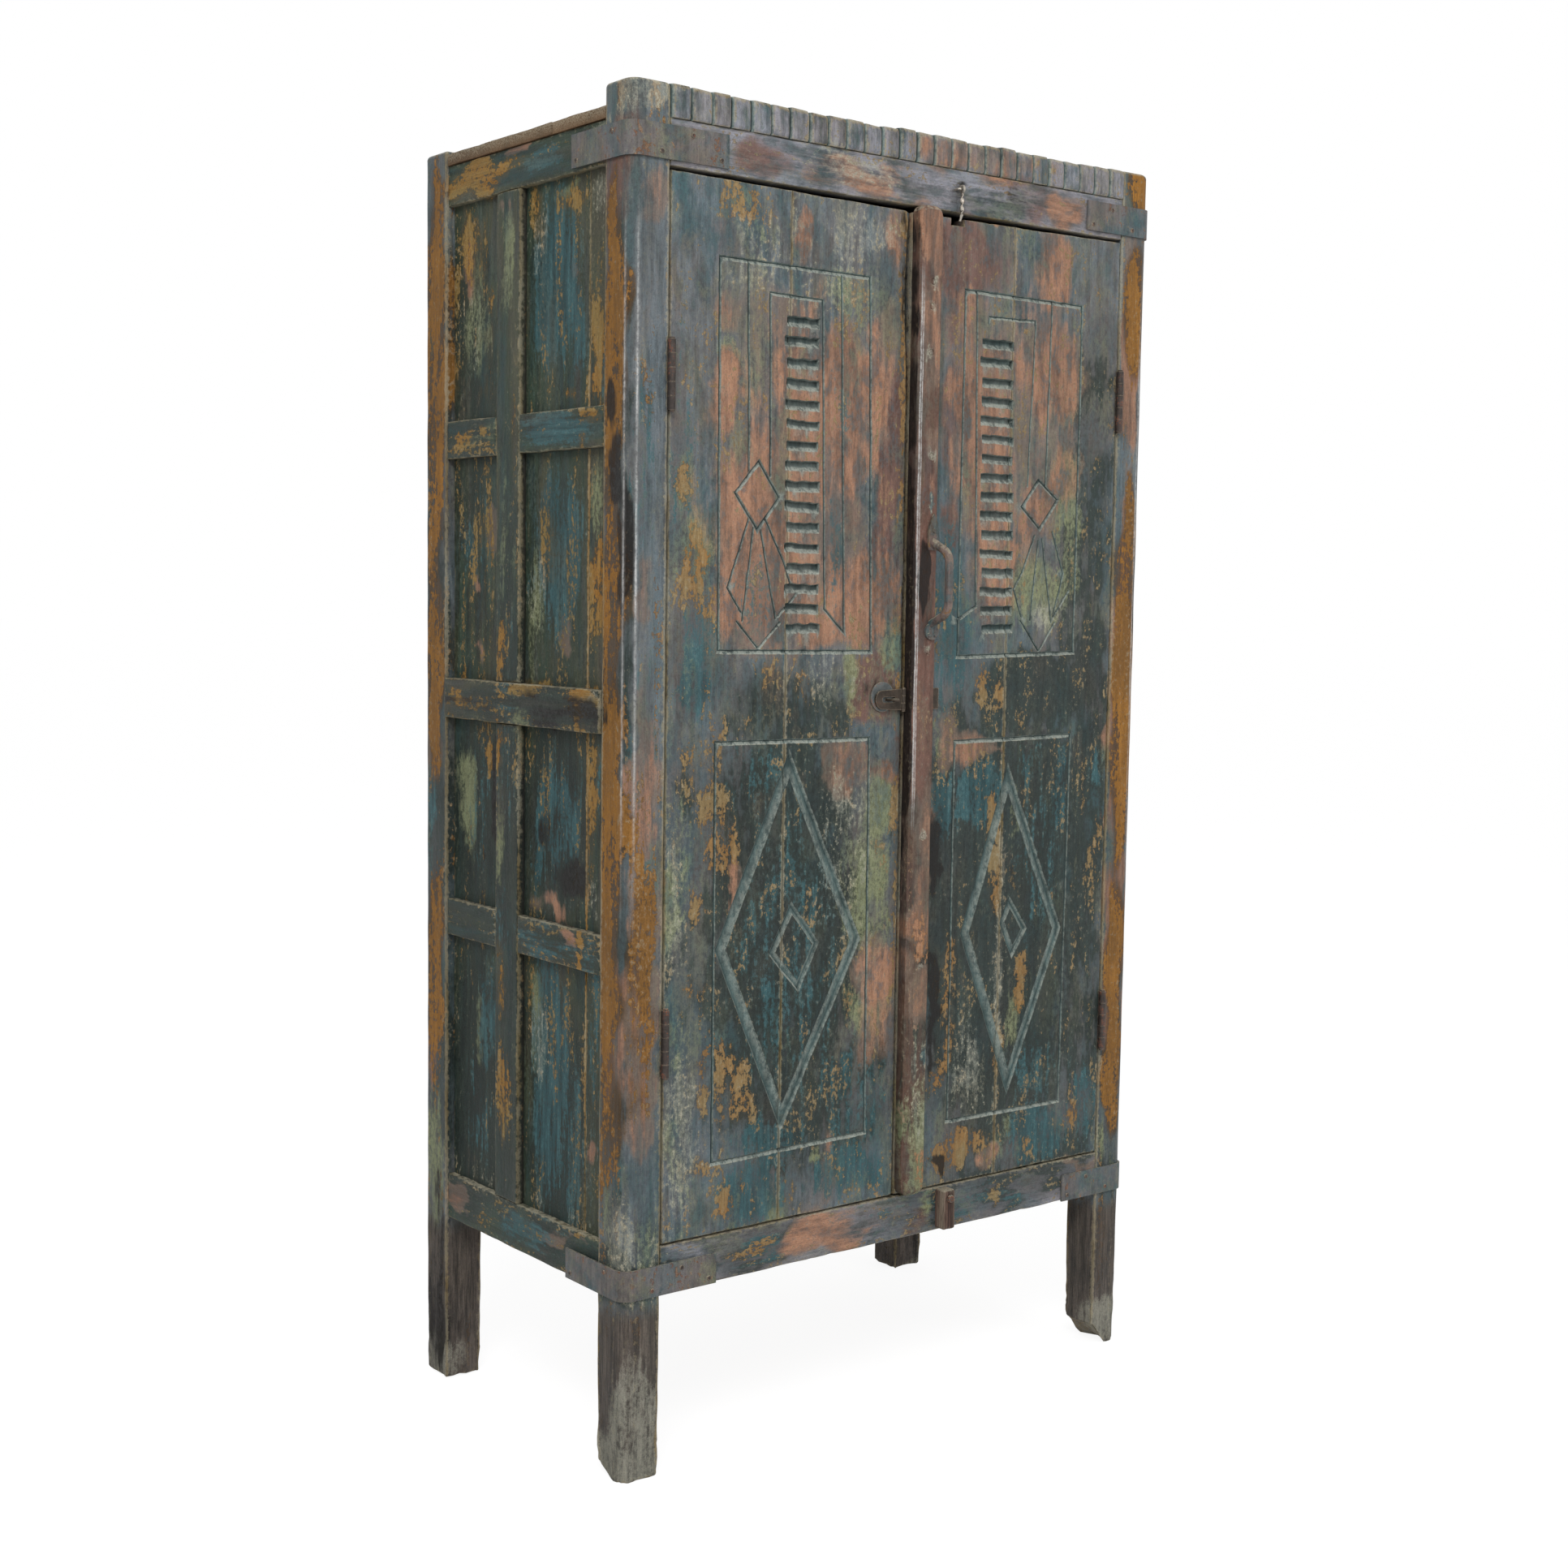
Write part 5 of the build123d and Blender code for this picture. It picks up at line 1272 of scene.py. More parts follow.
def post_skin(word, front):
    """A corner post with its worn outer corner, rounded head and rotten foot."""
    node = f"post_{'front' if front else 'back'}_{word}"
    (x0, x1), (y0, y1), (_, top) = spans(node)
    seed = 11 + len(node) + (3 if front else 0)
    outer = (x0 if word == "left" else x1, y0 if front else y1)
    corners = [(x, y, POST_ROUND[front] if (x, y) == outer else POST_ARRIS)
               for x, y in ((x0, y0), (x1, y0), (x1, y1), (x0, y1))]
    loop, sharp = rounded(corners, POST_STEP)
    centre = np.array([(x0 + x1) / 2, (y0 + y1) / 2])
    half = (x1 - x0) / 2
    drawn = [(z, by) for z, by in FOOT_ROUND.items()]
    drawn += [(z, 0.0) for z in np.arange(14.0, top - 10.0, POST_STEP)]
    drawn += [(top - z, by) for z, by in HEAD_ROUND.items()]
    drawn.append((top, HEAD_ROUND[0.0] + 5.0))
    tight = sharp == 1.0
    step = np.where(tight[:, None], np.sign(centre - loop), sideways(loop, True))
    around = np.arange(len(loop)) * 7.0
    rings, edges = [], []
    for z, by in drawn:
        level = np.full(len(loop), z)
        inward = 0.35 * wave(level, around, 90.0, seed)
        chip = np.clip(ripple(level, around, 22.0, seed + 5) - 0.7, 0, 1)
        inward = inward + chip * 3.0 * (sharp > 0.5)
        if z < FOOT_WORN:
            inward = inward + 1.6 * (1 - z / FOOT_WORN) * wave(around, z, 40.0, seed + 6)
        inward = np.where(tight, np.minimum(inward, LARGEST_CHIP), inward)
        ring = centre + (loop + step * inward[:, None] - centre) * (1 - by / half)
        if z < FOOT_ROTTEN:
            level = level + rot(node, ring, seed) * (1 - z / FOOT_ROTTEN) ** 1.3
        rings.append(np.column_stack([ring, level]))
        near_end = math.exp(-min(z, top - z) / 4.0)
        edges.append(np.maximum(sharp, 0.8 * near_end))
    points = np.vstack(rings)
    shine = corner_highlight(points, word, outer, seed + 30) if front else None
    skin = Skin()
    none = np.zeros(len(points))
    skin.add(points, loft(rings), np.concatenate(edges), none, Z, seed, (), shine)
    return node, skin


def corner_highlight(points, word, outer, seed):
    """Two painted highlight lines up a front post's round corner, where shoulders have also rubbed
    it.
    """
    radius = POST_ROUND[True]
    middle = (outer[0] + (radius if word == "left" else -radius), outer[1] + radius)
    x, y, z = points.T
    turn = np.degrees(np.arctan2(middle[1] - y, np.abs(x - middle[0])))
    on_round = (np.abs(x - outer[0]) < radius + 1.5) & (y - outer[1] < radius + 1.5)
    shine = np.zeros(len(points))
    for line in (15.0, 75.0):
        shine = np.maximum(shine, np.clip(1 - np.abs(turn - line) / 9.0, 0, 1) * on_round)
    shine *= np.clip(0.7 + 0.3 * ripple(z, x, 160.0, seed), 0, 1)
    return shine * (np.clip((z - 720.0) / 260.0, 0, 1) * np.clip((1690.0 - z) / 160.0, 0, 1))


def rot(node, ring, seed):
    """How far the foot of a post has rotted away at each point of its outline."""
    ragged = 1.5 * (1 + ripple(ring[:, 0], ring[:, 1], 14.0, seed + 8))
    if node == "post_front_left":
        back = np.clip((ring[:, 1] - FRONT - 28.0) / 24.0, 0, 1)
        return ragged * 0.5 + 15.0 * back
    if node == "post_front_right":
        inner = np.clip((OPEN_X + 30.0 - ring[:, 0]) / 22.0, 0, 1)
        return ragged + 34.0 * inner
    return ragged * np.where(ring[:, 0] > ring[:, 0].mean(), 1.0, 1.8)


def simple_board(skin, place, across, up, thick, base, run, seed, **more):
    """Add one plain worn board to a skin."""
    settings = {
        "arris": mm("arris"), "hollow": mm("hollow"),
        "wander": mm("wander"), "spacing": mm("spacing"),
    }
    settings.update(more)
    outline = settings.pop("outline", None) or box_outline(*across, *up)
    board = Board(outline, thick, seed, **settings)
    skin.add_board(board, place, base, run, seed)


class CupboardOperator(bpy.types.Operator):
    """What the cupboard's steps have in common"""
    bl_options = {"REGISTER", "UNDO"}


class CUPBOARD_OT_posts(CupboardOperator):
    """Four corner posts with worn corners and rotten feet"""
    bl_idname = "cupboard.posts"
    bl_label = "Posts"

    def execute(self, context):
        for word in SIDES:
            for front in (True, False):
                node, skin = post_skin(word, front)
                skin.build(f"{node}_worn", "carcass", "post_paint", [node])
        return {"FINISHED"}


class CUPBOARD_OT_rails(CupboardOperator):
    """The rails that run across the front and the back"""
    bl_idname = "cupboard.rails"
    bl_label = "Cross rails"

    def execute(self, context):
        reach = (-OPEN_X, OPEN_X)
        for number, place in enumerate(("top", "bottom")):
            for face in ("front", "back"):
                node = f"{place}_rail_{face}"
                y0, y1 = span(node, Y)
                skin = Skin()
                base = y1 if face == "front" else y0
                simple_board(skin, face, reach, span(node, Z), y1 - y0, base, X, 31 + number)
                slot = "front_paint" if face == "front" else "inside_wood"
                skin.build(f"{node}_worn", "carcass", slot, [node], "inside_wood")
        return {"FINISHED"}


class CUPBOARD_OT_frieze(CupboardOperator):
    """The reeded bar along the top, its bars chipped to uneven heights"""
    bl_idname = "cupboard.frieze"
    bl_label = "Frieze"
    bars: IntProperty(name="Bars", description="Flat bars between the cuts", default=26, min=1)
    # Going up a bar: share of its height, and how far its face lies back there.
    levels = ((0.0, 2.2), (0.05, 0.6), (0.14, 0.0), (0.35, 0.0), (0.6, 0.0), (0.82, 0.2),
              (0.93, 1.2), (1.0, 3.2), (1.0, 8.0))
    rubbed = (0.0, 0.93, 1.0)
    # Going round its profile: how sharp each point is, and how deep in the cut beside it, which
    # also sets the painted shade at the cut's bottom.
    sharp = (0.2, 0.0, 0.6, 0.6, 0.1, 0.1, 0.6, 0.6, 0.0, 0.2)
    deep_part = (0.0, 1.0, 0.05, 0.0, 0.0, 0.0, 0.0, 0.05, 1.0, 0.0)

    def execute(self, context):
        y0, y1 = span("frieze", Y)
        z0, z1 = span("frieze", Z)
        pitch = 2 * OPEN_X / self.bars
        rng = np.random.default_rng(5)
        skin = Skin()
        for bar in range(self.bars):
            low = -OPEN_X + bar * pitch
            cuts = rng.uniform(2.6, 4.4, 2)
            left, right = low + cuts[0], low + pitch - cuts[1]
            deep = rng.uniform(5.0, 7.0, 2)
            top = z1 - rng.uniform(0.0, 1.0) * mm("flute_top") * rng.uniform(0.2, 1.0)
            slant = rng.uniform(-1.6, 1.6)
            profile = np.array([
                (low, y1), (low, y0 + deep[0]), (left - 1.0, y0 + 1.2), (left + 0.6, y0 + 0.2),
                (left + 2.6, y0), (right - 2.6, y0), (right - 0.6, y0 + 0.2),
                (right + 1.0, y0 + 1.2), (low + pitch, y0 + deep[1]), (low + pitch, y1),
            ])
            rings, edges = [], []
            for share, back in self.levels:
                ring = profile.copy()
                front = profile[:, 1] < y0 + 8
                worn = back + 0.35 * wave(profile[:, 0], share * 42, 18.0, bar)
                ring[:, 1] = np.where(front, np.minimum(ring[:, 1] + worn, y1 - 1), ring[:, 1])
                lean = slant * (ring[:, 0] - low) / pitch * share
                rings.append(np.column_stack([ring, z0 + (top - z0) * share - np.abs(lean)]))
                edges.append(np.maximum(self.sharp, 0.9 if share in self.rubbed else 0.0))
            cut = np.tile(self.deep_part, len(rings))
            skin.add(np.vstack(rings), [face[::-1] for face in loft(rings)],
                     np.concatenate(edges), cut, Z, 60 + bar)
        skin.build("frieze_reeded", "carcass", "front_paint", ["frieze"])
        return {"FINISHED"}


class CUPBOARD_OT_sides(CupboardOperator):
    """The rails, stiles and boards of both sides"""
    bl_idname = "cupboard.sides"
    bl_label = "Sides"

    def execute(self, context):
        front = FRONT + POST
        back = BACK - POST
        for word in SIDES:
            for number, part in enumerate(("top_rail", "middle_rail", "bottom_rail")):
                node = f"{word}_side_{part}"
                self.member(word, node, [((front, back), None)], Y, 80 + number)
            stile = f"{word}_side_stiles"
            wide = span(stile, Y)
            runs = {"front": (front, wide[0]), "back": (wide[1], back)}
            for number, (end, run) in enumerate(runs.items()):
                node = f"{word}_side_short_rails_{end}"
                low, high = span(node, Z)
                rails = [(run, (low, low + SHORT_RAIL_TALL)), (run, (high - SHORT_RAIL_TALL, high))]
                self.member(word, node, rails, Y, 90 + number)
            low, high = span(stile, Z)
            rail_foot, rail_head = span(f"{word}_side_middle_rail", Z)
            halves = [(wide, (low, rail_foot)), (wide, (rail_head, high))]
            self.member(word, stile, halves, Z, 97)
            for number, end in enumerate(("front", "middle", "back")):
                node = f"{word}_side_board_{end}"
                self.member(word, node, [(span(node, Y), None)], Z, 101 + number, 1.2)
        return {"FINISHED"}

    def member(self, word, node, runs, run_axis, seed, arris=None):
        """One node of the side, as one or more worn pieces of wood."""
        x0, x1 = span(node, X)
        base = x1 if word == "left" else x0
        skin = Skin()
        seed += 200 if word == "right" else 0
        for number, (across, up) in enumerate(runs):
            more = {"arris": arris} if arris else {}
            simple_board(skin, word, across, up or span(node, Z), x1 - x0, base, run_axis,
                         seed + 13 * number, **more)
        skin.build(f"{node}_worn", "carcass", "side_paint", [node], "inside_wood")


class CUPBOARD_OT_cross_boards(CupboardOperator):
    """Top boards, floor boards and shelves"""
    bl_idname = "cupboard.cross_boards"
    bl_label = "Top, floor and shelves"
    top_seams = (190.0, 350.0)
    floor_seams = (180.0, 330.0)
    seam = 1.0

    def execute(self, context):
        self.boards("top_boards", self.top_seams, "top_wood", 120)
        self.boards("bottom_boards", self.floor_seams, "inside_wood", 130)
        for number, word in enumerate(SHELVES):
            self.boards(f"shelf_{word}", (230.0, 380.0), "inside_wood", 140 + 5 * number)
        return {"FINISHED"}

    def boards(self, node, seams, slot, seed):
        """Boards across the cupboard, the outer ones notched round the posts."""
        (x0, x1), (y0, y1), (z0, z1) = spans(node)
        edges = (y0, *(FRONT + s for s in seams), y1)
        skin = Skin()
        for number, (low, high) in enumerate(zip(edges, edges[1:])):
            near = low + (self.seam / 2 if number else 0.0)
            far = high - (self.seam / 2 if high < y1 else 0.0)
            outline = notched(x0, x1, near, far, FRONT + POST, BACK - POST)
            simple_board(skin, "top", None, None, z1 - z0, z0, X, seed + number,
                         outline=outline, wander=1.6, hollow=1.0, spacing=22.0)
        skin.build(f"{node}_worn", "carcass", slot, [node])


def notched(x0, x1, near, far, front_posts, back_posts):
    """Outline of a cross board, cut back to the opening beside the posts."""
    wide = x1 > OPEN_X
    if wide and near < front_posts:
        points = [(-OPEN_X, near), (OPEN_X, near), (OPEN_X, front_posts), (x1, front_posts)]
        last = [(x0, front_posts), (-OPEN_X, front_posts)]
    else:
        points = [(x0, near), (x1, near)]
        last = []
    if wide and far > back_posts:
        points += [(x1, back_posts), (OPEN_X, back_posts), (OPEN_X, far), (-OPEN_X, far),
                   (-OPEN_X, back_posts), (x0, back_posts)]
    else:
        points += [(x1, far), (x0, far)]
    return points + last


class CUPBOARD_OT_back_boards(CupboardOperator):
    """Upright boards that close the back, and the cleats under the shelves"""
    bl_idname = "cupboard.back_boards"
    bl_label = "Back boards and cleats"
    count: IntProperty(name="Boards", description="Boards in the back", default=4, min=1)

    def execute(self, context):
        y0, y1 = span("back_boards", Y)
        pitch = 2 * OPEN_X / self.count
        skin = Skin()
        for number in range(self.count):
            low = -OPEN_X + number * pitch + 0.4
            simple_board(skin, "back", (low, low + pitch - 0.8), span("back_boards", Z), y1 - y0,
                         y0, Z, 160 + number, spacing=24.0, wander=0.5)
        skin.build("back_boards_worn", "carcass", "inside_wood", ["back_boards"])
        self.cleats()
        return {"FINISHED"}

    def cleats(self):
        """A square batten under each shelf and the floor, on both sides."""
        z_low = span("shelf_cleats", Z)[0]
        y0, y1 = span("shelf_cleats", Y)
        wall = span("shelf_cleats", X)[1]
        rail = span("left_side_bottom_rail", X)[1]
        tops = [z_low + CLEAT] + [span(f"shelf_{word}", Z)[0] for word in SHELVES]
        skin = Skin()
        for number, top in enumerate(tops):
            outer = -rail if number == 0 else wall
            for side in SIDES.values():
                low, high = sorted((side * (outer - CLEAT), side * outer))
                simple_board(skin, "top", (low, high), (y0, y1), CLEAT, top - CLEAT, Y,
                             170 + number, spacing=30.0)
        skin.build("shelf_cleats_worn", "carcass", "inside_wood", ["shelf_cleats"])


# ---- doors -------------------------------------------------------------------------------
HINGE_EDGE = span("right_door_hinge_board", X)[1]
DOOR_FOOT = span("left_door_hinge_board", Z)[0]
DOOR_HEADS = (span("left_door_meeting_board", Z)[1], span("left_door_hinge_board", Z)[1])
GOUGES = 16
GOUGE_HEIGHTS = (1132.0, 1541.0)
BAND_WIDE = 16.0
SMALL_BAND_WIDE = 9.5
BATTEN = 60.0
HOOK_NOTCH = (68.0, 92.0, 1700.0)  # its sides and its foot, in the right door's top edge

# The drawing on each door: corners as (distance from the hinge edge, height).
CARVING = {
    "left": {
        "frames": (
            ((78, 1613), (333, 1612), (345, 1101), (82, 1103)),
            ((79, 982), (345, 980), (349, 418), (81, 414)),
        ),
        "lines": (
            ((124, 1611), (129, 1339)),
            ((282, 1611), (296, 1128), (261, 1159), (250, 1573), (161, 1575), (165, 1334)),
            ((129, 1277), (96, 1186), (119, 1154)), ((137, 1266), (121, 1142)),
            ((149, 1263), (177, 1145)), ((157, 1278), (190, 1221), (202, 1191)),
            ((213, 1181), (180, 1149)), ((112, 1142), (148, 1106), (184, 1141)),
        ),
        "kite": ((146, 1354), (107, 1311), (144, 1264), (180, 1307)),
        "diamond": ((204, 969), (81, 704), (198, 440), (336, 697)),
        "small": ((211, 760), (171, 690), (226, 631), (262, 699)),
        "ladder": ((187, 244), (193, 251)),
    },
    "right": {
        "frames": (
            ((78, 1611), (314, 1613), (315, 1093), (79, 1098)),
            ((80, 973), (317, 970), (316, 411), (86, 410)),
        ),
        "lines": (
            ((141, 1613), (146, 1342)),
            ((292, 1613), (281, 1165), (317, 1146)),
            ((268, 1569), (267, 1579), (174, 1581), (183, 1341)),
            ((129, 1277), (104, 1215), (124, 1154)), ((150, 1266), (127, 1142)),
            ((158, 1263), (171, 1145)),
            ((166, 1270), (190, 1215), (206, 1191)), ((92, 1190), (124, 1150)),
            ((120, 1142), (152, 1100), (190, 1145)), ((206, 1191), (188, 1150)),
        ),
        "kite": ((160, 1352), (120, 1324), (156, 1281), (193, 1311)),
        "diamond": ((209, 936), (89, 679), (195, 431), (298, 686)),
        "small": ((199, 736), (160, 684), (192, 639), (220, 698)),
        "ladder": ((218, 282), (207, 271)),
    },
}


def door_cuts(word):
    """Everything that is carved into one door."""
    side = SIDES[word]
    drawing = CARVING[word]
    width, deep = mm("groove"), mm("groove_deep")

    def placed(points):
        return [(side * (HINGE_EDGE - u), z) for u, z in points]

    def round_left(points):
        """The same corners, going round to the left."""
        centre = np.mean(points, 0)
        return sorted(points, key=lambda p: math.atan2(p[1] - centre[1], p[0] - centre[0]))

    cuts = []
    for number, frame_corners in enumerate(drawing["frames"]):
        corners = round_left(placed(frame_corners))
        cuts.append(Groove(corners, width, deep, closed=True, seed=301 + number))
    for number, line in enumerate(drawing["lines"]):
        thin = width * (0.85 if number < 2 else 0.75)
        cuts.append(Groove(placed(line), thin, deep * 0.85, seed=311 + number))
    cuts.append(Groove(round_left(placed(drawing["kite"])), width, deep, closed=True, seed=330))
    for name, wide, seed in (("diamond", BAND_WIDE, 340), ("small", SMALL_BAND_WIDE, 350)):
        cuts.append(Band(round_left(placed(drawing[name])), wide, mm("band_deep"), seed))
    (top_near, top_far), (foot_near, foot_far) = drawing["ladder"]
    low, high = GOUGE_HEIGHTS
    for number in range(GOUGES):
        share = number / (GOUGES - 1)
        near = foot_near + (top_near - foot_near) * share
        far = foot_far + (top_far - foot_far) * share
        ends = sorted((side * (HINGE_EDGE - near), side * (HINGE_EDGE - far)))
        cuts.append(Gouge(*ends, low + (high - low) * share, mm("gouge_tall"),
                          mm("gouge_deep"), 360 + number))
    return cuts


def door_head(x):
    """Height of the doors' sloping top edge."""
    meeting, hinge = DOOR_HEADS
    return meeting + (hinge - meeting) * (abs(x) - 8.0) / (HINGE_EDGE - 8.0)


def free_edge_wear(rim):
    """How far the left door's free edge is rubbed away, most near its top."""
    near_edge = rim[:, 0] > -8.5
    return np.where(near_edge, 1.0 + 7.5 * np.exp(-((rim[:, 1] - 1600.0) / 95.0) ** 2), 0.0)


class CUPBOARD_OT_door_boards(CupboardOperator):
    """The carved boards of both doors, and the battens behind them"""
    bl_idname = "cupboard.door_boards"
    bl_label = "Door boards"

    def execute(self, context):
        for word in SIDES:
            cuts = door_cuts(word)
            for part in ("hinge", "meeting"):
                node = f"{word}_door_{part}_board"
                self.board(word, node, cuts)
            self.battens(word)
        return {"FINISHED"}

    def board(self, word, node, cuts):
        """One carved board; where it meets its neighbour its edge stays straight."""
        low, high = span(node, X)
        y0, y1 = span(node, Y)
        inner = (low + high) / 2 * SIDES[word] > 200
        seam = low if (inner == (word == "right")) else high
        outline = [(low, DOOR_FOOT), (high, DOOR_FOOT), (high, door_head(high)),
                   (low, door_head(low))]
        if node == "right_door_meeting_board":
            near, far, foot = HOOK_NOTCH
            outline[3:3] = [(far, door_head(far)), (far, foot),
                            (near, foot), (near, door_head(near))]
        seed = 400 + len(node) + (50 if inner else 0)
        board = Board(outline, y1 - y0, seed, cuts, arris=1.6, straight=(seam,),
                      hollow=mm("hollow"), wander=mm("wander"),
                      spacing=mm("spacing"),
                      eaten=free_edge_wear if node == "left_door_meeting_board" else None)
        skin = Skin()
        skin.add_board(board, "front", y1, Z, seed)
        skin.build(f"{node}_carved", f"{word}_door", "door_paint", [node], "inside_wood")

    def battens(self, word):
        """Three battens across the back of a door."""
        node = f"{word}_door_battens"
        y0, y1 = span(node, Y)
        z0, z1 = span(node, Z)
        half = BATTEN / 2
        skin = Skin()
        for number in range(3):
            middle = z0 + half + (z1 - z0 - 2 * half) * number / 2
            simple_board(skin, "back", span(node, X), (middle - half, middle + half), y1 - y0, y0,
                         X, 470 + number, spacing=20.0)
        skin.build(f"{node}_worn", f"{word}_door", "inside_wood", [node])


class Ring(Groove):
    """The rim of a nail or plug sunk into the wood."""

    SHADE = 0.0

    def __init__(self, x, z, radius, seed):
        turns = np.linspace(0, 2 * math.pi, 11)[:-1]
        points = [(x + radius * math.cos(t), z + radius * math.sin(t)) for t in turns]
        super().__init__(points, 2.8, 1.4, closed=True, seed=seed, step=50.0)


class CUPBOARD_OT_cover_strip(CupboardOperator):
    """The chamfered strip that covers the gap between the doors"""
    bl_idname = "cupboard.cover_strip"
    bl_label = "Cover strip"
    plugs = ((19.0, 1614.0), (18.0, 1580.0), (17.0, 1517.0), (22.0, 1374.0), (21.0, 1101.0),
             (20.0, 838.0), (21.0, 652.0))
    corner = 14.0

    def execute(self, context):
        node = "right_door_cover_strip"
        (x0, x1), (y0, y1), (z0, z1) = spans(node)
        corners = [(x0, z0, self.corner), (x1, z0, self.corner), (x1, z1, self.corner),
                   (x0, z1, self.corner)]
        outline = rounded(corners, 60.0)[0]
        cuts = [Ring(x, z, 4.2, 500 + number) for number, (x, z) in enumerate(self.plugs)]
        chamfer = mm("strip_chamfer")

        def chamfer_highlight(points, near_rim):
            """Two painted highlight lines down the strip's left chamfer, on arrises that are also
            rubbed.
            """
            x, z = points.T
            line = np.clip(1.1 - np.abs(np.abs(near_rim - chamfer) - 1.3) / 1.1, 0, 1)
            ends = np.clip((z - 840) / 90, 0, 1) * np.clip((1650 - z) / 90, 0, 1)
            return line * ends * (x < x0 + 8.0)

        board = Board(outline, y1 - y0, 480, cuts, arris=chamfer, chamfer=True, hollow=0.8,
                      wander=0.8, spacing=11.0, bright=chamfer_highlight)
        skin = Skin()
        skin.add_board(board, "front", y1, Z, 480)
        skin.build("cover_strip_worn", "right_door", "strip_paint", [node], smooth=24.0)
        return {"FINISHED"}


# ---- ironwork ----------------------------------------------------------------------------
def dress(slot, *nodes):
    """Give plain nodes their finish."""
    for node in nodes:
        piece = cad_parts[node]
        piece.data.materials.clear()
        piece.data.materials.append(material(slot))


class CUPBOARD_OT_straps(CupboardOperator):
    """Corner straps and their nails"""
    bl_idname = "cupboard.straps"
    bl_label = "Corner straps"

    def execute(self, context):
        names = [f"strap_{place}_{word}" for place in ("top", "bottom") for word in SIDES]
        dress("strap_iron", *names)
        dress("nail_iron", "strap_nails", "turn_button_screw")
        return {"FINISHED"}


class CUPBOARD_OT_hinges(CupboardOperator):
    """Hinge leaves and pins"""
    bl_idname = "cupboard.hinges"
    bl_label = "Hinges"

    def execute(self, context):
        leaves = [f"hinge_leaves_{place}" for place in ("carcass", *SIDES)]
        dress("hinge_iron", *leaves, "hinge_pins")
        return {"FINISHED"}


class CUPBOARD_OT_handle(CupboardOperator):
    """The bow handle"""
    bl_idname = "cupboard.handle"
    bl_label = "Handle"

    def execute(self, context):
        dress("handle_iron", "right_door_handle")
        return {"FINISHED"}


class CUPBOARD_OT_hasp(CupboardOperator):
    """The hasp, its staple and the round plate behind it"""
    bl_idname = "cupboard.hasp"
    bl_label = "Hasp"

    def execute(self, context):
        dress("hasp_iron", "hasp_leaf", "hasp_fixed_leaf", "hasp_pin", "left_door_staple")
        dress("rosette_iron", "left_door_rosette")
        return {"FINISHED"}


class CUPBOARD_OT_hook(CupboardOperator):
    """The twisted hook on the top rail"""
    bl_idname = "cupboard.hook"
    bl_label = "Hook"
    eye = 4.1
    wire = 2.0

    def execute(self, context):
        dress("hook_steel", "rail_staple")
        (x0, x1), (y0, _), (z0, z1) = spans("hook")
        middle = np.array([(x0 + x1) / 2, y0 + self.eye + self.wire, z1 - self.eye - self.wire])
        skin = Skin()
        twists = context.scene.cupboard_sizes.hook_twists
        for points, faces in (self.eye_ring(middle), self.shank(middle, z0 + self.wire, twists)):
            none = np.zeros(len(points))
            skin.add(points, faces, none, none, Z, 640)
        skin.build("hook_twisted", "hook", "hook_steel", ["hook"], smooth=50.0)
        return {"FINISHED"}

    def eye_ring(self, middle):
        """The round eye, lying across the rail."""
        turns, sides = 20, 10
        points = []
        for turn in np.linspace(0, 2 * math.pi, turns + 1)[:-1]:
            for side in np.linspace(0, 2 * math.pi, sides + 1)[:-1]:
                far = self.eye + self.wire * math.cos(side)
                off = (self.wire * math.sin(side), far * math.cos(turn), far * math.sin(turn))
                points.append(middle + off)
        faces = []
        for turn in range(turns):
            here, ahead = turn * sides, (turn + 1) % turns * sides
            faces.extend((here + k, ahead + k, ahead + (k + 1) % sides, here + (k + 1) % sides)
                         for k in range(sides))
        return np.array(points), faces

    def shank(self, middle, tip, twists):
        """The flat bar, twisted between the eye and the tip that bends to the door."""
        around = np.linspace(0, 2 * math.pi, 13)[:-1]
        rings = []
        for share in np.linspace(0, 1, 36):
            flat = np.clip(min(share - 0.12, 0.98 - share) / 0.12, 0, 1)
            wide, thin = 1.9 + 1.3 * flat, 1.5 - 0.5 * flat
            across = wide * np.sign(np.cos(around)) * np.abs(np.cos(around)) ** 0.6
            deep = thin * np.sign(np.sin(around)) * np.abs(np.sin(around)) ** 0.6
            turn = 0.5 * math.pi * twists * np.clip((share - 0.2) / 0.7, 0, 1)
            bend = 4.0 * np.clip(1 - share / 0.3, 0, 1) ** 1.4
            rings.append(np.column_stack([
                middle[X] + across * math.cos(turn) - deep * math.sin(turn),
                middle[Y] + bend + across * math.sin(turn) + deep * math.cos(turn),
                np.full(len(around), tip + (middle[Z] - self.eye - tip) * share),
            ]))
        return np.vstack(rings), loft(rings)


class CUPBOARD_OT_turn_button(CupboardOperator):
    """The wooden turn button on the bottom rail"""
    bl_idname = "cupboard.turn_button"
    bl_label = "Turn button"

    def execute(self, context):
        node = "turn_button"
        (x0, x1), (y0, y1), (z0, z1) = spans(node)
        corners = [(x0, z0, 4.0), (x1, z0, 4.0), (x1, z1, 4.0), (x0, z1, 4.0)]
        board = Board(rounded(corners, 20.0)[0], y1 - y0, 620, arris=3.0, hollow=1.6, wander=1.0,
                      spacing=6.0)
        skin = Skin()
        skin.add_board(board, "front", y1, Z, 620)
        skin.build("turn_button_worn", "turn_button", "button_wood", [node])
        return {"FINISHED"}


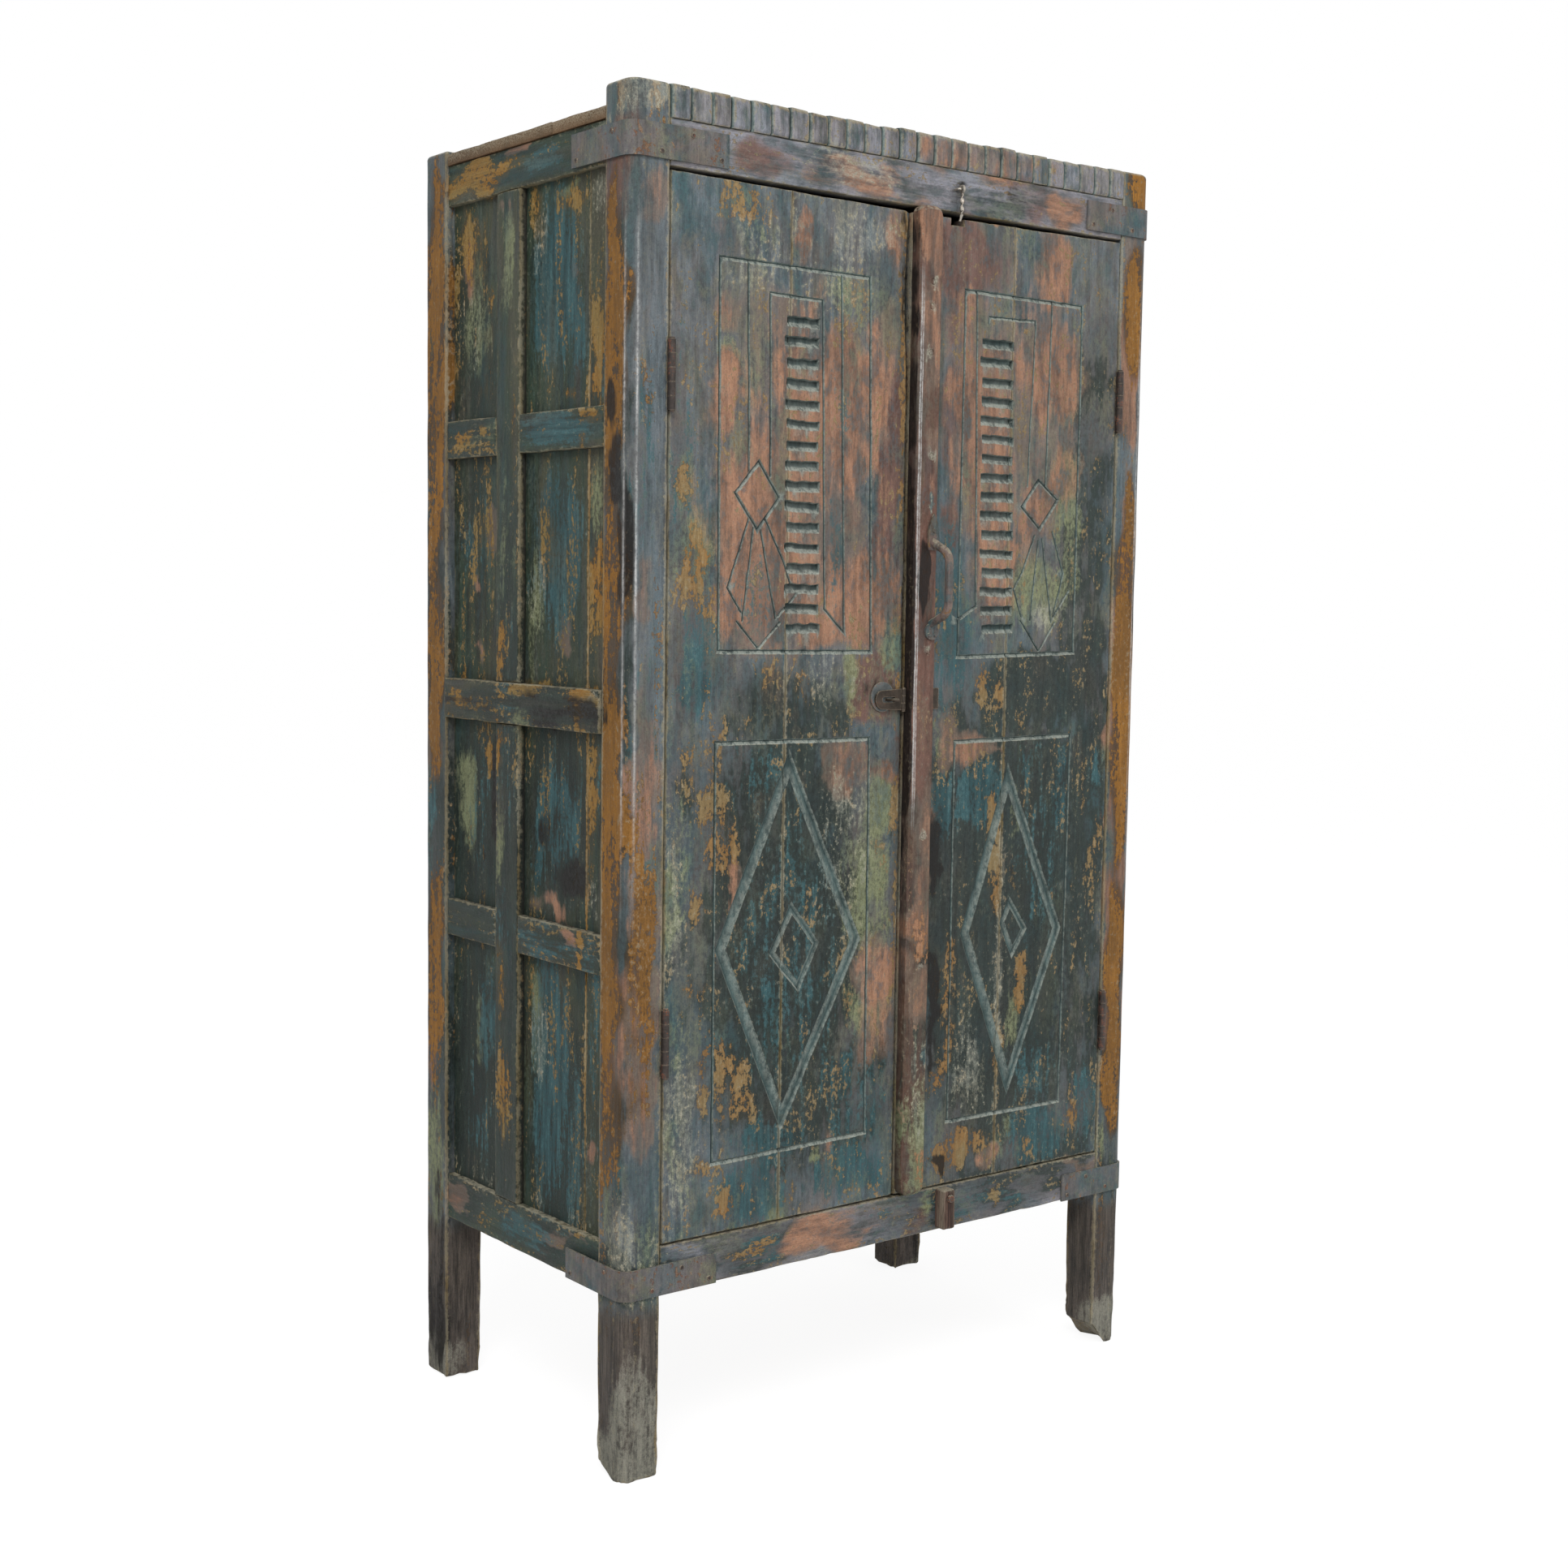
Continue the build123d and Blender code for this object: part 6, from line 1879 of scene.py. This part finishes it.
# ---- stage -------------------------------------------------------------------------------
class CUPBOARD_OT_stage(CupboardOperator):
    """Pale floor, soft lamps and the camera"""
    bl_idname = "cupboard.stage"
    bl_label = "Stage"

    def execute(self, context):
        stage = context.scene.cupboard_stage
        self.floor(context, stage)
        self.world(context, stage)
        self.lamp(context, "key_lamp", (-2.6, -2.8, 3.8), (0.0, 0.0, 0.9), 1.8, stage.key)
        self.lamp(context, "fill_lamp", (1.6, -3.8, 1.6), (0.0, 0.0, 0.8), 2.6, stage.fill)
        self.camera(context, stage)
        context.scene.view_settings.view_transform = "Standard"
        return {"FINISHED"}

    def floor(self, context, stage):
        """A wide pale floor that keeps the cupboard's shadow."""
        mesh = bpy.data.meshes.new("floor")
        half = 60.0
        corners = [(-half, -half, 0.0), (half, -half, 0.0), (half, half, 0.0), (-half, half, 0.0)]
        mesh.from_pydata(corners, [], [(0, 1, 2, 3)])
        floor = bpy.data.objects.new("floor", mesh)
        context.scene.collection.objects.link(floor)
        f = Finish("floor_paint")
        f.join(stage.floor, f.shader.inputs["Base Color"])
        f.join(0.9, f.shader.inputs["Roughness"])
        seen = self.seen_directly(f)
        inputs = {"Color": (1.0, 1.0, 1.0), "Strength": stage.glow}
        glow = f.add("ShaderNodeEmission", inputs=inputs)
        shade = Wire(f, f.shader.outputs[0])
        blend = f.add("ShaderNodeMixShader", inputs={0: seen * 0.72, 1: shade, 2: glow})
        f.join(blend, f.tree.nodes["Material Output"].inputs["Surface"])
        mesh.materials.append(f.material)

    @staticmethod
    def seen_directly(finish):
        """1 for the camera, mirrors and glass, 0 for plain light."""
        rays = [finish.add("ShaderNodeLightPath", out=name)
                for name in ("Is Camera Ray", "Is Glossy Ray", "Is Transmission Ray")]
        return (rays[0] + rays[1] + rays[2]).clamped()

    def world(self, context, stage):
        """Even light all round, seen as white."""
        world = bpy.data.worlds.new("room")
        world.use_nodes = True
        context.scene.world = world
        f = Finish("room", world.node_tree)
        back = f.tree.nodes["Background"]
        f.join((1.0, 1.0, 1.0), back.inputs["Color"])
        seen = self.seen_directly(f)
        f.join(seen * (1.0 - stage.sky) + stage.sky, back.inputs["Strength"])

    @staticmethod
    def lamp(context, name, place, target, size, power):
        """A large square soft lamp."""
        data = bpy.data.lights.new(name, "AREA")
        data.size = size
        data.energy = power
        lamp = bpy.data.objects.new(name, data)
        lamp.location = place
        aim = Vector(target) - Vector(place)
        lamp.rotation_euler = aim.to_track_quat("-Z", "Y").to_euler()
        context.scene.collection.objects.link(lamp)

    @staticmethod
    def camera(context, stage):
        """The camera, set by where it stands and what it looks along."""
        data = bpy.data.cameras.new("camera")
        data.sensor_width = 36.0
        data.sensor_fit = "HORIZONTAL"
        data.lens = stage.lens
        data.shift_x = stage.shift
        data.clip_end = 200.0
        camera = bpy.data.objects.new("camera", data)
        look = Vector(stage.look).normalized()
        right = look.cross(Vector(stage.upright)).normalized()
        up = right.cross(look)
        turn = Matrix((right, up, -look)).transposed().to_4x4()
        camera.matrix_world = Matrix.Translation(Vector(stage.eye)) @ turn
        context.scene.collection.objects.link(camera)
        context.scene.camera = camera


STEPS = (
    CUPBOARD_OT_stage, CUPBOARD_OT_posts, CUPBOARD_OT_rails, CUPBOARD_OT_frieze, CUPBOARD_OT_sides,
    CUPBOARD_OT_cross_boards, CUPBOARD_OT_back_boards, CUPBOARD_OT_door_boards,
    CUPBOARD_OT_cover_strip, CUPBOARD_OT_straps, CUPBOARD_OT_hinges, CUPBOARD_OT_handle,
    CUPBOARD_OT_hasp, CUPBOARD_OT_hook, CUPBOARD_OT_turn_button,
)


class CUPBOARD_PT_steps(bpy.types.Panel):
    """The cupboard's sizes, colours and steps"""
    bl_idname = "CUPBOARD_PT_steps"
    bl_label = "Plank cupboard"
    bl_space_type = "VIEW_3D"
    bl_region_type = "UI"
    bl_category = "Cupboard"

    def draw(self, context):
        for name, group in GROUPS.items():
            box = self.layout.box()
            for field in group.__annotations__:
                box.prop(getattr(context.scene, name), field)
        for step in STEPS:
            self.layout.operator(step.bl_idname)


def register():
    """Make the settings, steps and panel known to Blender."""
    for name, group in GROUPS.items():
        bpy.utils.register_class(group)
        setattr(bpy.types.Scene, name, PointerProperty(type=group))
    for step in (*STEPS, CUPBOARD_PT_steps):
        bpy.utils.register_class(step)


def unregister():
    """Take them away again."""
    for step in reversed((*STEPS, CUPBOARD_PT_steps)):
        bpy.utils.unregister_class(step)
    for name, group in GROUPS.items():
        delattr(bpy.types.Scene, name)
        bpy.utils.unregister_class(group)


def main():
    """Run every step."""
    register()
    for step in STEPS:
        group, name = step.bl_idname.split(".")
        getattr(getattr(bpy.ops, group), name)()


if __name__ == "__main__":
    main()
